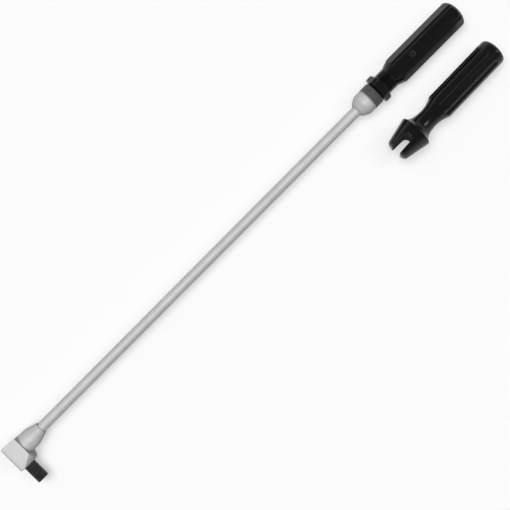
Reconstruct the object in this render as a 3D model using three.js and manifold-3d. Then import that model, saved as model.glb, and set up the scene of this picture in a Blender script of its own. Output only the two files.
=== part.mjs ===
// Angled bit driver: a right-angle bevel-gear head on a long tube, turned by a handle at the far end,
// with a loose fork handle lying beside it. Millimetres, +Z up, resting on its flats at z = 0.
// X runs along the tube from the head to the handle, and the bit socket points along -Y.
// Stations along the tube are measured from the bit axis, and along the bit axis from the tube's axis.

import * as THREE from 'three';
import { mergeVertices } from 'three/addons/utils/BufferGeometryUtils.js';
import loadManifold from 'manifold-3d';

const wasm = await loadManifold();
wasm.setup();

// Clearances
const FIT_GAP = 0.15; // pressed, screwed or seated fit
const RUN_GAP = 0.25; // turning fit, on the radius
const END_GAP = 0.2; // between neighbours along an axis
const CHAMBER_GAP = 0.4; // gear tips to the head's bores

// Head
const FLAT_TO_FLAT = 26.4; // across the head and across the grip, so that the tool lies level
const HEAD_END = 7.6; // bit axis to the closed end
const HEAD_SHOULDER = 10; // bit axis to the face that carries the ferrule
const HEAD_MOUTH = 16.9; // shaft axis to the face that the bit socket leaves
const HEAD_BACK_SHOULDER = 10.4; // shaft axis to the back, at the shoulder
const HEAD_BACK_END = 12.2; // shaft axis to the back, at the closed end
const HEAD_CORNER = 2.8; // rounding of the closed end
const HEAD_BACK_CORNER = 2.6; // rounding where the closed end meets the back
const HEAD_CONE_RADIUS = 16.2; // turned cone, at the shoulder
const HEAD_CONE_SLOPE = 0.385; // growth of the cone's radius towards the closed end

// Bevel gears, two alike at a right angle
const TEETH = 12;
const MODULE = 0.8;
const PRESSURE_ANGLE = THREE.MathUtils.degToRad(20);
const PITCH_ANGLE = Math.PI / 4;
const FACE_WIDTH = 2.2;
const BACKLASH = 0.2;
const ADDENDUM = 0.95; // in modules
const DEDENDUM = 1.25; // in modules
const HUB_RADIUS = 4;
const HUB_LENGTH = 2.7; // behind the teeth
const PIN_DIAMETER = 1.2;
const WASHER_THICKNESS = 0.5;
const WASHER_RADIUS = 5.2;

// Drive shaft and tube
const SHAFT_DIAMETER = 5;
const SHAFT_SEAT_DIAMETER = 4; // under the pinion
const TUBE_DIAMETER = 10;
const TUBE_WALL = 1.4;
const TUBE_EXPOSED = 424.8; // ferrule to rear collar

// Ferrule and front bush
const FERRULE_DIAMETER = 19.9;
const FERRULE_TIP_DIAMETER = 12.4;
const FERRULE_BARREL = 10;
const FERRULE_TAPER = 12.4;
const FERRULE_KNEE = 3; // softening between barrel and taper
const SPIGOT_DIAMETER = 15.6;
const SPIGOT_LENGTH = 3.2;
const LIP_THICKNESS = 1.9; // between pinion washer and bush
const FRONT_BUSH_LENGTH = 6.6;

// Rear collar, rear bush and knurled ring
const COLLAR_TIP_DIAMETER = 12.4;
const COLLAR_DIAMETER = 22.4;
const COLLAR_OGIVE = 9.5;
const COLLAR_BARREL = 5.4;
const COLLAR_SPIGOT_DIAMETER = 17;
const COLLAR_SPIGOT_LENGTH = 6;
const COLLAR_TUBE_DEPTH = 8;
const REAR_BUSH_DIAMETER = 12;
const RING_DIAMETER = 23;
const RING_WIDTH = 9.9;
const RING_BEAD = 1.2; // plain rim before the knurl
const KNURL_COUNT = 32;
const KNURL_DEPTH = 0.75;
const KNURL_SINK = 0.15; // knurl's lands below the bead
const KNURL_SHARE = 0.55; // groove's share of the pitch

// Handle
const HANDLE_WASHER = 0.5;
const HANDLE_WASHER_DIAMETER = 16;
const FLANGE_WIDTH = 8.8;
const FLANGE_FRONT_DIAMETER = 19.4;
const FLANGE_FRONT_CHAMFER = 1.8;
const FLANGE_REAR_CHAMFER = 2.5;
const NECK_LENGTH = 10;
const NECK_DIAMETER = 19.6;
const RIB_DIAMETER = 22;
const RIB_COUNT = 4;
const GRIP_TAPER = 12.6;
const GRIP_LENGTH = 68.5;
const GRIP_DOME = 9;
const GROOVE_RADIUS = 2.4; // flute along each corner of the grip
const GROOVE_CENTRE = 15.5; // flute's centre, from the shaft axis
const SCREW_STATION = 47.8; // behind the handle's front face
const SCREW_DIAMETER = 3;
const SCREW_SINK = 1; // below the grip's flat
const SCREW_SOCKET = 1.5; // across the flats of its key hole
const SCREW_SINK_DIAMETER = 4.8; // countersink at the flat
const SHAFT_PAST_SCREW = 10;

// Bit socket
const SOCKET_DIAMETER = 12;
const SOCKET_REACH = 35.8; // shaft axis to the mouth
const SOCKET_CHAMFER = 0.8;
const JOURNAL_DIAMETER = 6.4;
const GEAR_SEAT_DIAMETER = 4.4;
const OUTPUT_BUSH_LENGTH = 5.2;
const CIRCLIP_THICKNESS = 1;
const CIRCLIP_WIDTH = 2.2;
const CIRCLIP_GROOVE = 0.5; // depth
const CIRCLIP_GAP_ANGLE = THREE.MathUtils.degToRad(40);
const HEX_FLATS = 6.45; // takes a quarter inch bit
const HEX_DEPTH = 14.6;
const MAGNET_DIAMETER = 4.7;
const MAGNET_LENGTH = 3.6;
const CLIP_STATION = 5.6; // mouth to the middle of the bit clip
const CLIP_WIDTH = 0.8;
const CLIP_INNER_DIAMETER = 6.7;
const CLIP_OUTER_DIAMETER = 8.1;
const CLIP_GAP_ANGLE = THREE.MathUtils.degToRad(50);

// Fork handle
const FORK_NOSE_TIP_DIAMETER = 22.2;
const FORK_NOSE_ROUNDING = 3.6;
const FORK_FLARE_DIAMETER = 34;
const FORK_NOSE_LENGTH = 27.6;
const FORK_FLARE_BACK = 4.5; // flare's rear slope
const FORK_NECK_DIAMETER = 24.6; // behind the flare
const FORK_WAIST_DIAMETER = 20;
const FORK_WAIST_LENGTH = 27.9;
const FORK_GRIP_DIAMETER = 27.4;
const FORK_GRIP_LENGTH = 71.7;
const FORK_END_ROUNDING = 4.4;
const FORK_FLUTES = 6;
const FORK_FLUTE_RADIUS = 4.5;
const FORK_FLUTE_DEPTH = 1.75;
const FORK_FLUTE_STOP = 8; // flute's end to the handle's end
const FORK_FLUTE_TURN = -7; // first flute to the slot's plane, in degrees
const FORK_SNAP = 0.7; // slot is this much narrower than the tube
const FORK_SLOT_DEPTH = 19.1;
const FORK_TIP_X = 455.4;
const FORK_TIP_Y = -54.1;
const FORK_YAW = THREE.MathUtils.degToRad(0.9);
const FORK_ROLL = THREE.MathUtils.degToRad(-10);

// Facets
const OUTER_SIDES = 32;
const INNER_SIDES = 24;
const SMALL_SIDES = 12;
const CLIP_SEGMENTS = 14;
const CORNER_STEPS = 3;

// Sizes of the gears along and around their axes, from the apex that both share
const pitchRadius = (MODULE * TEETH) / 2;
const coneDistance = pitchRadius / Math.sin(PITCH_ANGLE);
const backApex = coneDistance / Math.cos(PITCH_ANGLE);
const virtualRadius = pitchRadius / Math.cos(PITCH_ANGLE);
const tipDistance = virtualRadius + ADDENDUM * MODULE;
const rootDistance = virtualRadius - DEDENDUM * MODULE;
const chamberRadius = tipDistance * Math.cos(PITCH_ANGLE) + CHAMBER_GAP;
const heelRoot = backApex - rootDistance * Math.sin(PITCH_ANGLE);
const toeScale = (coneDistance - FACE_WIDTH) / coneDistance;
const hubStart = heelRoot + HUB_LENGTH * 0.15;
const hubEnd = heelRoot + HUB_LENGTH;
const pinStation = (hubStart + hubEnd) / 2;
const seatStart = toeScale * heelRoot + END_GAP;

// Stations along the tube
const washerStart = hubEnd + END_GAP;
const lipStart = washerStart + WASHER_THICKNESS + END_GAP;
const lipEnd = lipStart + LIP_THICKNESS;
const frontBushStart = lipEnd + END_GAP;
const frontBushEnd = frontBushStart + FRONT_BUSH_LENGTH;
const tubeStart = frontBushEnd + END_GAP;
const spigotStart = HEAD_SHOULDER - SPIGOT_LENGTH;
const ferruleSeat = HEAD_SHOULDER + FIT_GAP;
const ferruleBarrelEnd = HEAD_SHOULDER + FERRULE_BARREL;
const ferruleEnd = ferruleBarrelEnd + FERRULE_TAPER;
const collarStart = ferruleEnd + TUBE_EXPOSED;
const collarOgiveEnd = collarStart + COLLAR_OGIVE;
const collarEnd = collarOgiveEnd + COLLAR_BARREL;
const collarSpigotEnd = collarEnd + COLLAR_SPIGOT_LENGTH;
const tubeEnd = collarStart + COLLAR_TUBE_DEPTH;
const rearBushStart = tubeEnd + END_GAP;
const ringStart = collarEnd + FIT_GAP;
const ringEnd = ringStart + RING_WIDTH;
const ringLipStart = collarSpigotEnd + END_GAP;
const handleWasherStart = ringEnd + END_GAP;
const handleFront = handleWasherStart + HANDLE_WASHER + END_GAP;
const flangeEnd = handleFront + FLANGE_WIDTH;
const neckEnd = flangeEnd + NECK_LENGTH;
const gripStart = neckEnd + GRIP_TAPER;
const domeStart = gripStart + GRIP_LENGTH;
const handleEnd = domeStart + GRIP_DOME;
const screwX = handleFront + SCREW_STATION;
const shaftEnd = screwX + SHAFT_PAST_SCREW;

// Stations along the bit axis
const outputBushStart = lipStart;
const outputBushEnd = outputBushStart + OUTPUT_BUSH_LENGTH;
const circlipStart = outputBushEnd + END_GAP;
const circlipEnd = circlipStart + CIRCLIP_THICKNESS;
const socketShoulder = circlipEnd + END_GAP;
const hexBottom = SOCKET_REACH - HEX_DEPTH;
const magnetEnd = hexBottom - END_GAP;
const magnetStart = magnetEnd - MAGNET_LENGTH;

// Radii that follow from fits
const axisHeight = FLAT_TO_FLAT / 2;
const shaftRadius = SHAFT_DIAMETER / 2;
const tubeRadius = TUBE_DIAMETER / 2;
const tubeBoreRadius = tubeRadius - TUBE_WALL;
const tubeSeatRadius = tubeRadius + FIT_GAP;
const shaftBearingRadius = shaftRadius + RUN_GAP;
const spigotRadius = SPIGOT_DIAMETER / 2;
const lipRadius = shaftBearingRadius + RUN_GAP;
const gripReach = axisHeight / Math.cos(Math.PI / 6);
const outputBoreRadius = SOCKET_DIAMETER / 2 + RUN_GAP;
const outputBushRadius = outputBoreRadius - FIT_GAP;
const journalRadius = JOURNAL_DIAMETER / 2;
const rearBushRadius = REAR_BUSH_DIAMETER / 2;
const flangeFrontRadius = FLANGE_FRONT_DIAMETER / 2;
const screwHoleRadius = SCREW_DIAMETER / 2 + FIT_GAP;

const PAST = 2; // how far a cutter runs beyond the face that it opens

// Moves from a corner towards a neighbour.
function towards(corner, neighbour, distance) {
  const step = new THREE.Vector2(neighbour[0] - corner[0], neighbour[1] - corner[1]).setLength(distance);
  return new THREE.Vector2(corner[0], corner[1]).add(step);
}

// Points of a closed outline from corners [x, y, rounding].
function roundedOutline(corners) {
  const points = [];
  corners.forEach((corner, index) => {
    const middle = new THREE.Vector2(corner[0], corner[1]);
    const rounding = corner[2] ?? 0;
    if (rounding === 0) {
      points.push(middle);
      return;
    }
    const start = towards(corner, corners.at(index - 1), rounding);
    const end = towards(corner, corners[(index + 1) % corners.length], rounding);
    points.push(...new THREE.QuadraticBezierCurve(start, middle, end).getPoints(CORNER_STEPS));
  });
  return points;
}

// Six times the signed volume that the triangles enclose.
function signedVolume(positions, triangles) {
  const [a, b, c] = [new THREE.Vector3(), new THREE.Vector3(), new THREE.Vector3()];
  let sum = 0;
  for (let i = 0; i < triangles.length; i += 3) {
    a.fromBufferAttribute(positions, triangles[i]);
    b.fromBufferAttribute(positions, triangles[i + 1]);
    c.fromBufferAttribute(positions, triangles[i + 2]);
    sum += a.dot(b.cross(c));
  }
  return sum;
}

// Closed solid from a geometry: shared vertices merged, flat triangles dropped, faces pointing out.
function solid(geometry) {
  const bare = geometry.clone();
  bare.deleteAttribute('normal');
  bare.deleteAttribute('uv');
  const merged = mergeVertices(bare);
  const positions = merged.getAttribute('position');
  const index = merged.index.array;
  const triangles = [];
  for (let i = 0; i < index.length; i += 3) {
    const [a, b, c] = index.slice(i, i + 3);
    if (a !== b && b !== c && c !== a) triangles.push(a, b, c);
  }
  if (signedVolume(positions, triangles) < 0) triangles.reverse();
  const vertProperties = Float32Array.from(positions.array);
  const triVerts = Uint32Array.from(triangles);
  return new wasm.Manifold(new wasm.Mesh({ numProp: 3, vertProperties, triVerts }));
}

// Geometry of a solid after its cuts and joins.
function geometryOf(body) {
  const mesh = body.getMesh();
  const geometry = new THREE.BufferGeometry();
  geometry.setAttribute('position', new THREE.BufferAttribute(Float32Array.from(mesh.vertProperties), 3));
  geometry.setIndex(new THREE.BufferAttribute(Uint32Array.from(mesh.triVerts), 1));
  return geometry;
}

// Solid turned about +X from an outline of points (station, radius).
function turnedPoints(points, sides = OUTER_SIDES) {
  const profile = points.map((point) => new THREE.Vector2(point.y, point.x));
  const geometry = new THREE.LatheGeometry([...profile, profile[0]], sides);
  geometry.rotateZ(-Math.PI / 2);
  return solid(geometry);
}

// Solid turned about +X from corners [station, radius, rounding].
function turned(corners, sides = OUTER_SIDES) {
  return turnedPoints(roundedOutline(corners), sides);
}

// Plain rod or ring about +X.
function rod(start, end, radius, sides = INNER_SIDES) {
  return turned([[start, 0], [start, radius], [end, radius], [end, 0]], sides);
}

function ring(start, end, inner, outer, sides = INNER_SIDES) {
  return turned([[start, inner], [start, outer], [end, outer], [end, inner]], sides);
}

// Rod across the X axis, along Z, at a station.
function crossRod(station, low, high, radius, sides = SMALL_SIDES) {
  const geometry = new THREE.CylinderGeometry(radius, radius, high - low, sides);
  geometry.rotateX(Math.PI / 2);
  geometry.translate(station, 0, (low + high) / 2);
  return solid(geometry);
}

// Outline pushed along +X, with the outline's x axis along -Z and its y axis along +Y.
function pushedAlongX(shape, start, end, curveSegments = CORNER_STEPS) {
  const geometry = new THREE.ExtrudeGeometry(shape, { depth: end - start, bevelEnabled: false, curveSegments });
  geometry.rotateY(Math.PI / 2);
  geometry.translate(start, 0, 0);
  return solid(geometry);
}

// Regular hexagon across the flats, with flats facing its x axis.
function hexagon(flats) {
  const reach = flats / 2 / Math.cos(Math.PI / 6);
  const corners = [];
  for (let i = 0; i < 6; i += 1) {
    const angle = Math.PI / 6 + (i * Math.PI) / 3;
    corners.push(new THREE.Vector2(reach * Math.cos(angle), reach * Math.sin(angle)));
  }
  return new THREE.Shape(corners);
}

// Open spring ring: an annulus with a gap centred on its -x axis.
function openRing(inner, outer, gapAngle, start, end) {
  const from = -Math.PI + gapAngle / 2;
  const to = Math.PI - gapAngle / 2;
  const shape = new THREE.Shape();
  shape.absarc(0, 0, outer, from, to, false);
  shape.absarc(0, 0, inner, to, from, true);
  return pushedAlongX(shape, start, end, CLIP_SEGMENTS);
}

// Head: a flat-sided block with rounded closed end, turned conical towards the shoulder, and bored
// crosswise for the pinion and for the output gear with its bush.
function headHousing() {
  const outline = new THREE.Shape(roundedOutline([
    [HEAD_SHOULDER, HEAD_BACK_SHOULDER],
    [-HEAD_END, HEAD_BACK_END, HEAD_BACK_CORNER],
    [-HEAD_END, -HEAD_MOUTH, HEAD_CORNER],
    [HEAD_SHOULDER, -HEAD_MOUTH],
  ]));
  const plan = new THREE.ExtrudeGeometry(outline, { depth: FLAT_TO_FLAT, bevelEnabled: false });
  plan.translate(0, 0, -axisHeight);

  const elevation = new THREE.Shape(roundedOutline([
    [HEAD_SHOULDER + PAST, axisHeight],
    [-HEAD_END, axisHeight, HEAD_CORNER],
    [-HEAD_END, -axisHeight, HEAD_CORNER],
    [HEAD_SHOULDER + PAST, -axisHeight],
  ]));
  const depth = HEAD_MOUTH + HEAD_BACK_END + 2 * PAST;
  const side = new THREE.ExtrudeGeometry(elevation, { depth, bevelEnabled: false });
  side.rotateX(Math.PI / 2);
  side.translate(0, HEAD_BACK_END + PAST, 0);

  const length = HEAD_SHOULDER + HEAD_END + PAST;
  const cone = turned([
    [HEAD_SHOULDER, 0],
    [HEAD_SHOULDER, HEAD_CONE_RADIUS],
    [HEAD_SHOULDER - length, HEAD_CONE_RADIUS + HEAD_CONE_SLOPE * length],
    [HEAD_SHOULDER - length, 0],
  ], OUTER_SIDES * 2);

  const shaftBore = rod(0, HEAD_SHOULDER, chamberRadius);
  const spigotBore = rod(spigotStart - END_GAP, HEAD_SHOULDER + PAST, spigotRadius + FIT_GAP);
  const gearBore = rod(-chamberRadius, outputBushStart, chamberRadius);
  const bushBore = rod(outputBushStart - END_GAP, HEAD_MOUTH + PAST, outputBoreRadius);
  const clipGroove = rod(circlipStart - FIT_GAP, circlipEnd + FIT_GAP, outputBoreRadius + CIRCLIP_GROOVE);
  const outputBores = gearBore.add(bushBore).add(clipGroove).rotate([0, 0, -90]);

  return solid(plan).intersect(solid(side)).intersect(cone)
    .subtract(shaftBore.add(spigotBore))
    .subtract(outputBores);
}

function headFerrule() {
  const cavityRadius = WASHER_RADIUS + RUN_GAP;
  return turned([
    [spigotStart, cavityRadius],
    [spigotStart, spigotRadius],
    [ferruleSeat, spigotRadius],
    [ferruleSeat, FERRULE_DIAMETER / 2],
    [ferruleBarrelEnd, FERRULE_DIAMETER / 2, FERRULE_KNEE],
    [ferruleEnd, FERRULE_TIP_DIAMETER / 2, 0.5],
    [ferruleEnd, tubeSeatRadius],
    [lipEnd, tubeSeatRadius],
    [lipEnd, lipRadius],
    [lipStart, lipRadius],
    [lipStart, cavityRadius],
  ]);
}

function rearCollar() {
  const ogive = new THREE.QuadraticBezierCurve(
    new THREE.Vector2(collarStart, COLLAR_TIP_DIAMETER / 2),
    new THREE.Vector2(collarStart + 0.23 * COLLAR_OGIVE, 0.48 * COLLAR_DIAMETER),
    new THREE.Vector2(collarOgiveEnd, COLLAR_DIAMETER / 2),
  );
  const rest = roundedOutline([
    [collarEnd, COLLAR_DIAMETER / 2, 0.3],
    [collarEnd, COLLAR_SPIGOT_DIAMETER / 2],
    [collarSpigotEnd, COLLAR_SPIGOT_DIAMETER / 2],
    [collarSpigotEnd, rearBushRadius + FIT_GAP],
    [tubeEnd, rearBushRadius + FIT_GAP],
    [tubeEnd, tubeSeatRadius],
    [collarStart, tubeSeatRadius],
  ]);
  return turnedPoints([...ogive.getPoints(6), ...rest]);
}

// Knurled ring: square grooves along its rim behind a plain bead, and a lip behind the rear bush.
function knurledRing() {
  const beadRadius = RING_DIAMETER / 2;
  const outer = beadRadius - KNURL_SINK;
  const rim = new THREE.Shape();
  const pitch = (2 * Math.PI) / KNURL_COUNT;
  const points = [];
  for (let i = 0; i < KNURL_COUNT; i += 1) {
    const middle = i * pitch;
    const halfLand = ((1 - KNURL_SHARE) * pitch) / 2;
    const halfFloor = halfLand * 1.25;
    const radii = [outer - KNURL_DEPTH, outer, outer, outer - KNURL_DEPTH];
    [-halfFloor, -halfLand, halfLand, halfFloor].forEach((offset, corner) => {
      const angle = middle + offset;
      points.push(new THREE.Vector2(radii[corner] * Math.cos(angle), radii[corner] * Math.sin(angle)));
    });
  }
  rim.setFromPoints(points);
  const knurl = pushedAlongX(rim, ringStart + RING_BEAD / 2, ringEnd);
  const bead = rod(ringStart, ringStart + RING_BEAD, beadRadius, OUTER_SIDES);
  const spigotBore = rod(ringStart - PAST, ringLipStart, COLLAR_SPIGOT_DIAMETER / 2 + FIT_GAP);
  const shaftHole = rod(ringStart, ringEnd + PAST, lipRadius);
  return knurl.add(bead).subtract(spigotBore).subtract(shaftHole);
}

// Six-sided section of the grip, its flats up and down, with a round flute in place of each corner.
function gripSection() {
  const flatAngle = Math.PI / 6;
  const edgeAngle = flatAngle + Math.acos((axisHeight - GROOVE_CENTRE * Math.cos(flatAngle)) / GROOVE_RADIUS);
  const shape = new THREE.Shape();
  for (let i = 0; i < 6; i += 1) {
    const corner = Math.PI / 2 + (i * Math.PI) / 3;
    const x = GROOVE_CENTRE * Math.cos(corner);
    const y = GROOVE_CENTRE * Math.sin(corner);
    shape.absarc(x, y, GROOVE_RADIUS, corner - edgeAngle, corner + edgeAngle, true);
  }
  return shape;
}

// Corners of the ribbed neck: round-shouldered ribs standing on the neck.
function neckCorners() {
  const pitch = NECK_LENGTH / (RIB_COUNT + 0.5);
  const corners = [];
  for (let i = 0; i < RIB_COUNT; i += 1) {
    const foot = flangeEnd + (i + 0.35) * pitch;
    corners.push([foot, NECK_DIAMETER / 2]);
    corners.push([foot + 0.25 * pitch, RIB_DIAMETER / 2]);
    corners.push([foot + 0.55 * pitch, RIB_DIAMETER / 2]);
    corners.push([foot + 0.8 * pitch, NECK_DIAMETER / 2]);
  }
  return corners;
}

// Handle: the six-sided section cut to a turned outline, bored for the shaft and its grub screw.
function handle() {
  const outline = turned([
    [handleFront, 0],
    [handleFront, flangeFrontRadius],
    [handleFront + FLANGE_FRONT_CHAMFER, gripReach],
    [flangeEnd - FLANGE_REAR_CHAMFER, gripReach],
    [flangeEnd, RIB_DIAMETER / 2],
    ...neckCorners(),
    [neckEnd, NECK_DIAMETER / 2],
    [gripStart, gripReach],
    [handleEnd, gripReach, GRIP_DOME],
    [handleEnd, 0],
  ]);
  const section = pushedAlongX(gripSection(), handleFront - PAST, handleEnd + PAST, 5);
  const shaftBore = rod(handleFront - PAST, shaftEnd + END_GAP, shaftRadius + FIT_GAP);
  const screwHole = crossRod(screwX, 0, axisHeight + PAST, screwHoleRadius);
  const sink = new THREE.CylinderGeometry(SCREW_SINK_DIAMETER / 2, screwHoleRadius, SCREW_SINK, SMALL_SIDES * 2);
  sink.rotateX(Math.PI / 2);
  sink.translate(screwX, 0, axisHeight - SCREW_SINK / 2 + FIT_GAP);
  return outline.intersect(section).subtract(shaftBore).subtract(screwHole).subtract(solid(sink));
}

function handleScrew() {
  const top = axisHeight - SCREW_SINK;
  const keyHole = new THREE.ExtrudeGeometry(hexagon(SCREW_SOCKET), { depth: PAST + SCREW_SOCKET, bevelEnabled: false });
  keyHole.translate(screwX, 0, top - SCREW_SOCKET);
  return crossRod(screwX, shaftRadius + FIT_GAP, top, SCREW_DIAMETER / 2).subtract(solid(keyHole));
}

function driveShaft() {
  return turned([
    [seatStart, 0],
    [seatStart, SHAFT_SEAT_DIAMETER / 2],
    [hubEnd + FIT_GAP, SHAFT_SEAT_DIAMETER / 2],
    [hubEnd + FIT_GAP, shaftRadius],
    [shaftEnd, shaftRadius],
    [shaftEnd, 0],
  ], INNER_SIDES).subtract(pinHole());
}

function pinHole() {
  const reach = HUB_RADIUS + PAST;
  return crossRod(pinStation, -reach, reach, PIN_DIAMETER / 2 + FIT_GAP);
}

function crossPin() {
  const reach = HUB_RADIUS - FIT_GAP;
  return crossRod(pinStation, -reach, reach, PIN_DIAMETER / 2);
}

// Half of a tooth's angle on the unrolled back cone, at a distance from that cone's apex.
function halfTooth(distance) {
  const baseRadius = virtualRadius * Math.cos(PRESSURE_ANGLE);
  const roll = Math.acos(Math.min(1, baseRadius / distance));
  const involute = (angle) => Math.tan(angle) - angle;
  const quarterPitch = (Math.PI * Math.cos(PITCH_ANGLE)) / (2 * TEETH);
  return quarterPitch - BACKLASH / (2 * virtualRadius) + involute(PRESSURE_ANGLE) - involute(roll);
}

// Straight bevel gear about +X: its apex is the origin, and the first tooth stands at an angle from +Y.
// Rings of points with equal counts are joined one to the next, round the section and back to the start.
function bevelGear(firstTooth, bore) {
  const flank = [rootDistance, virtualRadius, tipDistance];
  const heel = [];
  for (let tooth = 0; tooth < TEETH; tooth += 1) {
    const middle = firstTooth + (2 * Math.PI * tooth) / TEETH;
    const addPoint = (distance, side) => {
      const angle = middle + (side * halfTooth(distance)) / Math.cos(PITCH_ANGLE);
      heel.push({ distance, angle });
    };
    flank.forEach((distance) => addPoint(distance, -1));
    flank.toReversed().forEach((distance) => addPoint(distance, 1));
  }
  const onCone = (distance) => [backApex - distance * Math.sin(PITCH_ANGLE), distance * Math.cos(PITCH_ANGLE)];
  const heelRing = heel.map((point) => onCone(point.distance));
  const rootRing = heel.map(() => onCone(rootDistance));
  const toToe = (sections) => sections.map(([station, radius]) => [station * toeScale, radius * toeScale]);
  const plainRing = (station, radius) => heel.map(() => [station, radius]);
  const rings = [
    toToe(heelRing),
    heelRing,
    rootRing,
    plainRing(hubStart, HUB_RADIUS),
    plainRing(hubEnd, HUB_RADIUS),
    plainRing(hubEnd, bore),
    plainRing(toeScale * heelRoot, bore),
    toToe(rootRing),
  ];
  const count = heel.length;
  const positions = [];
  rings.forEach((sections) => sections.forEach(([station, radius], i) => {
    positions.push(station, radius * Math.cos(heel[i].angle), radius * Math.sin(heel[i].angle));
  }));
  const index = [];
  rings.forEach((_, row) => {
    const next = (row + 1) % rings.length;
    for (let i = 0; i < count; i += 1) {
      const j = (i + 1) % count;
      const [a, b, c, d] = [row * count + i, row * count + j, next * count + j, next * count + i];
      index.push(a, b, c, a, c, d);
    }
  });
  const geometry = new THREE.BufferGeometry();
  geometry.setAttribute('position', new THREE.Float32BufferAttribute(positions, 3));
  geometry.setIndex(index);
  return solid(geometry).subtract(pinHole());
}

// Bit socket: hexagon bore in front, journal behind, and the gear's seat at its inner end.
function bitSocket() {
  const hexBore = pushedAlongX(hexagon(HEX_FLATS), hexBottom, SOCKET_REACH + PAST);
  const magnetBore = rod(magnetStart - FIT_GAP, hexBottom + FIT_GAP, MAGNET_DIAMETER / 2 + FIT_GAP);
  const clipMiddle = SOCKET_REACH - CLIP_STATION;
  const clipHalf = CLIP_WIDTH / 2 + FIT_GAP;
  const clipGroove = rod(clipMiddle - clipHalf, clipMiddle + clipHalf, CLIP_OUTER_DIAMETER / 2 + FIT_GAP);
  return turned([
    [seatStart, 0],
    [seatStart, GEAR_SEAT_DIAMETER / 2],
    [hubEnd + FIT_GAP, GEAR_SEAT_DIAMETER / 2],
    [hubEnd + FIT_GAP, journalRadius],
    [socketShoulder, journalRadius],
    [socketShoulder, SOCKET_DIAMETER / 2],
    [SOCKET_REACH - SOCKET_CHAMFER, SOCKET_DIAMETER / 2],
    [SOCKET_REACH, SOCKET_DIAMETER / 2 - SOCKET_CHAMFER],
    [SOCKET_REACH, 0],
  ]).subtract(pinHole()).subtract(hexBore).subtract(magnetBore).subtract(clipGroove);
}

function bitClip() {
  const middle = SOCKET_REACH - CLIP_STATION;
  const [inner, outer] = [CLIP_INNER_DIAMETER / 2, CLIP_OUTER_DIAMETER / 2];
  return openRing(inner, outer, CLIP_GAP_ANGLE, middle - CLIP_WIDTH / 2, middle + CLIP_WIDTH / 2);
}

function outputCirclip() {
  const outer = outputBoreRadius + CIRCLIP_GROOVE - FIT_GAP;
  return openRing(outer - CIRCLIP_WIDTH, outer, CIRCLIP_GAP_ANGLE, circlipStart, circlipEnd);
}

// Stations along the fork handle, from its prong tips
const forkFlareEnd = FORK_NOSE_LENGTH + FORK_FLARE_BACK;
const forkGripStart = forkFlareEnd + FORK_WAIST_LENGTH;
const forkGripEnd = forkGripStart + FORK_GRIP_LENGTH;
const forkEnd = forkGripEnd + FORK_END_ROUNDING;
const forkFlareRadius = FORK_FLARE_DIAMETER / 2;
const forkGripRadius = FORK_GRIP_DIAMETER / 2;

// Fork handle: a turned outline with a waist, fluted along the grip and slotted through the nose.
function forkHandle() {
  const nose = roundedOutline([
    [0, 0],
    [0, FORK_NOSE_TIP_DIAMETER / 2, FORK_NOSE_ROUNDING],
    [FORK_NOSE_LENGTH, forkFlareRadius, 0.8],
    [forkFlareEnd, FORK_NECK_DIAMETER / 2],
  ]);
  const waistPull = FORK_WAIST_DIAMETER - (FORK_NECK_DIAMETER + FORK_GRIP_DIAMETER) / 4;
  const waist = new THREE.QuadraticBezierCurve(
    new THREE.Vector2(forkFlareEnd, FORK_NECK_DIAMETER / 2),
    new THREE.Vector2(forkFlareEnd + FORK_WAIST_LENGTH / 2, waistPull),
    new THREE.Vector2(forkGripStart, forkGripRadius),
  ).getPoints(8).slice(1);
  const end = roundedOutline([
    [forkGripStart, forkGripRadius],
    [forkEnd, forkGripRadius, FORK_END_ROUNDING],
    [forkEnd, 0],
  ]).slice(1);
  let body = turnedPoints([...nose, ...waist, ...end]);

  const fluteStart = forkFlareEnd + FORK_WAIST_LENGTH / 2;
  const fluteEnd = forkEnd - FORK_FLUTE_STOP;
  const flute = turned([
    [fluteStart, 0],
    [fluteStart, FORK_FLUTE_RADIUS],
    [fluteEnd, FORK_FLUTE_RADIUS, FORK_FLUTE_RADIUS],
    [fluteEnd, 0],
  ], SMALL_SIDES * 2).translate([0, 0, forkGripRadius - FORK_FLUTE_DEPTH + FORK_FLUTE_RADIUS]);
  for (let i = 0; i < FORK_FLUTES; i += 1) {
    body = body.subtract(flute.rotate([FORK_FLUTE_TURN + (360 * i) / FORK_FLUTES, 0, 0]));
  }

  const slotRadius = (TUBE_DIAMETER - FORK_SNAP) / 2;
  const root = FORK_SLOT_DEPTH - slotRadius;
  const slotShape = new THREE.Shape();
  slotShape.moveTo(-PAST, -slotRadius);
  slotShape.lineTo(root, -slotRadius);
  slotShape.absarc(root, 0, slotRadius, -Math.PI / 2, Math.PI / 2, false);
  slotShape.lineTo(-PAST, slotRadius);
  const slot = new THREE.ExtrudeGeometry(slotShape, {
    depth: FORK_FLARE_DIAMETER, bevelEnabled: false, curveSegments: SMALL_SIDES,
  });
  slot.translate(0, 0, -forkFlareRadius);
  return body.subtract(solid(slot));
}

// Finishes: colour, roughness, metalness
const SATIN_CHROME = [0xc9cacd, 0.38, 0.9];
const BLACK_PLASTIC = [0x1d1d1f, 0.45, 0];
const BLACK_STEEL = [0x2b2b2d, 0.5, 0.7];
const BRIGHT_STEEL = [0xb4b6ba, 0.3, 1];
const BRONZE = [0xa8793f, 0.4, 1];
const SPRING_STEEL = [0x6d6f74, 0.35, 1];
const BLACK_NYLON = [0x161617, 0.6, 0];

function place(parent, name, body, [color, roughness, metalness]) {
  const material = new THREE.MeshStandardMaterial({ color, roughness, metalness });
  const mesh = new THREE.Mesh(geometryOf(body), material);
  mesh.name = name;
  parent.add(mesh);
}

const bitDriver = new THREE.Group();

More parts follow.
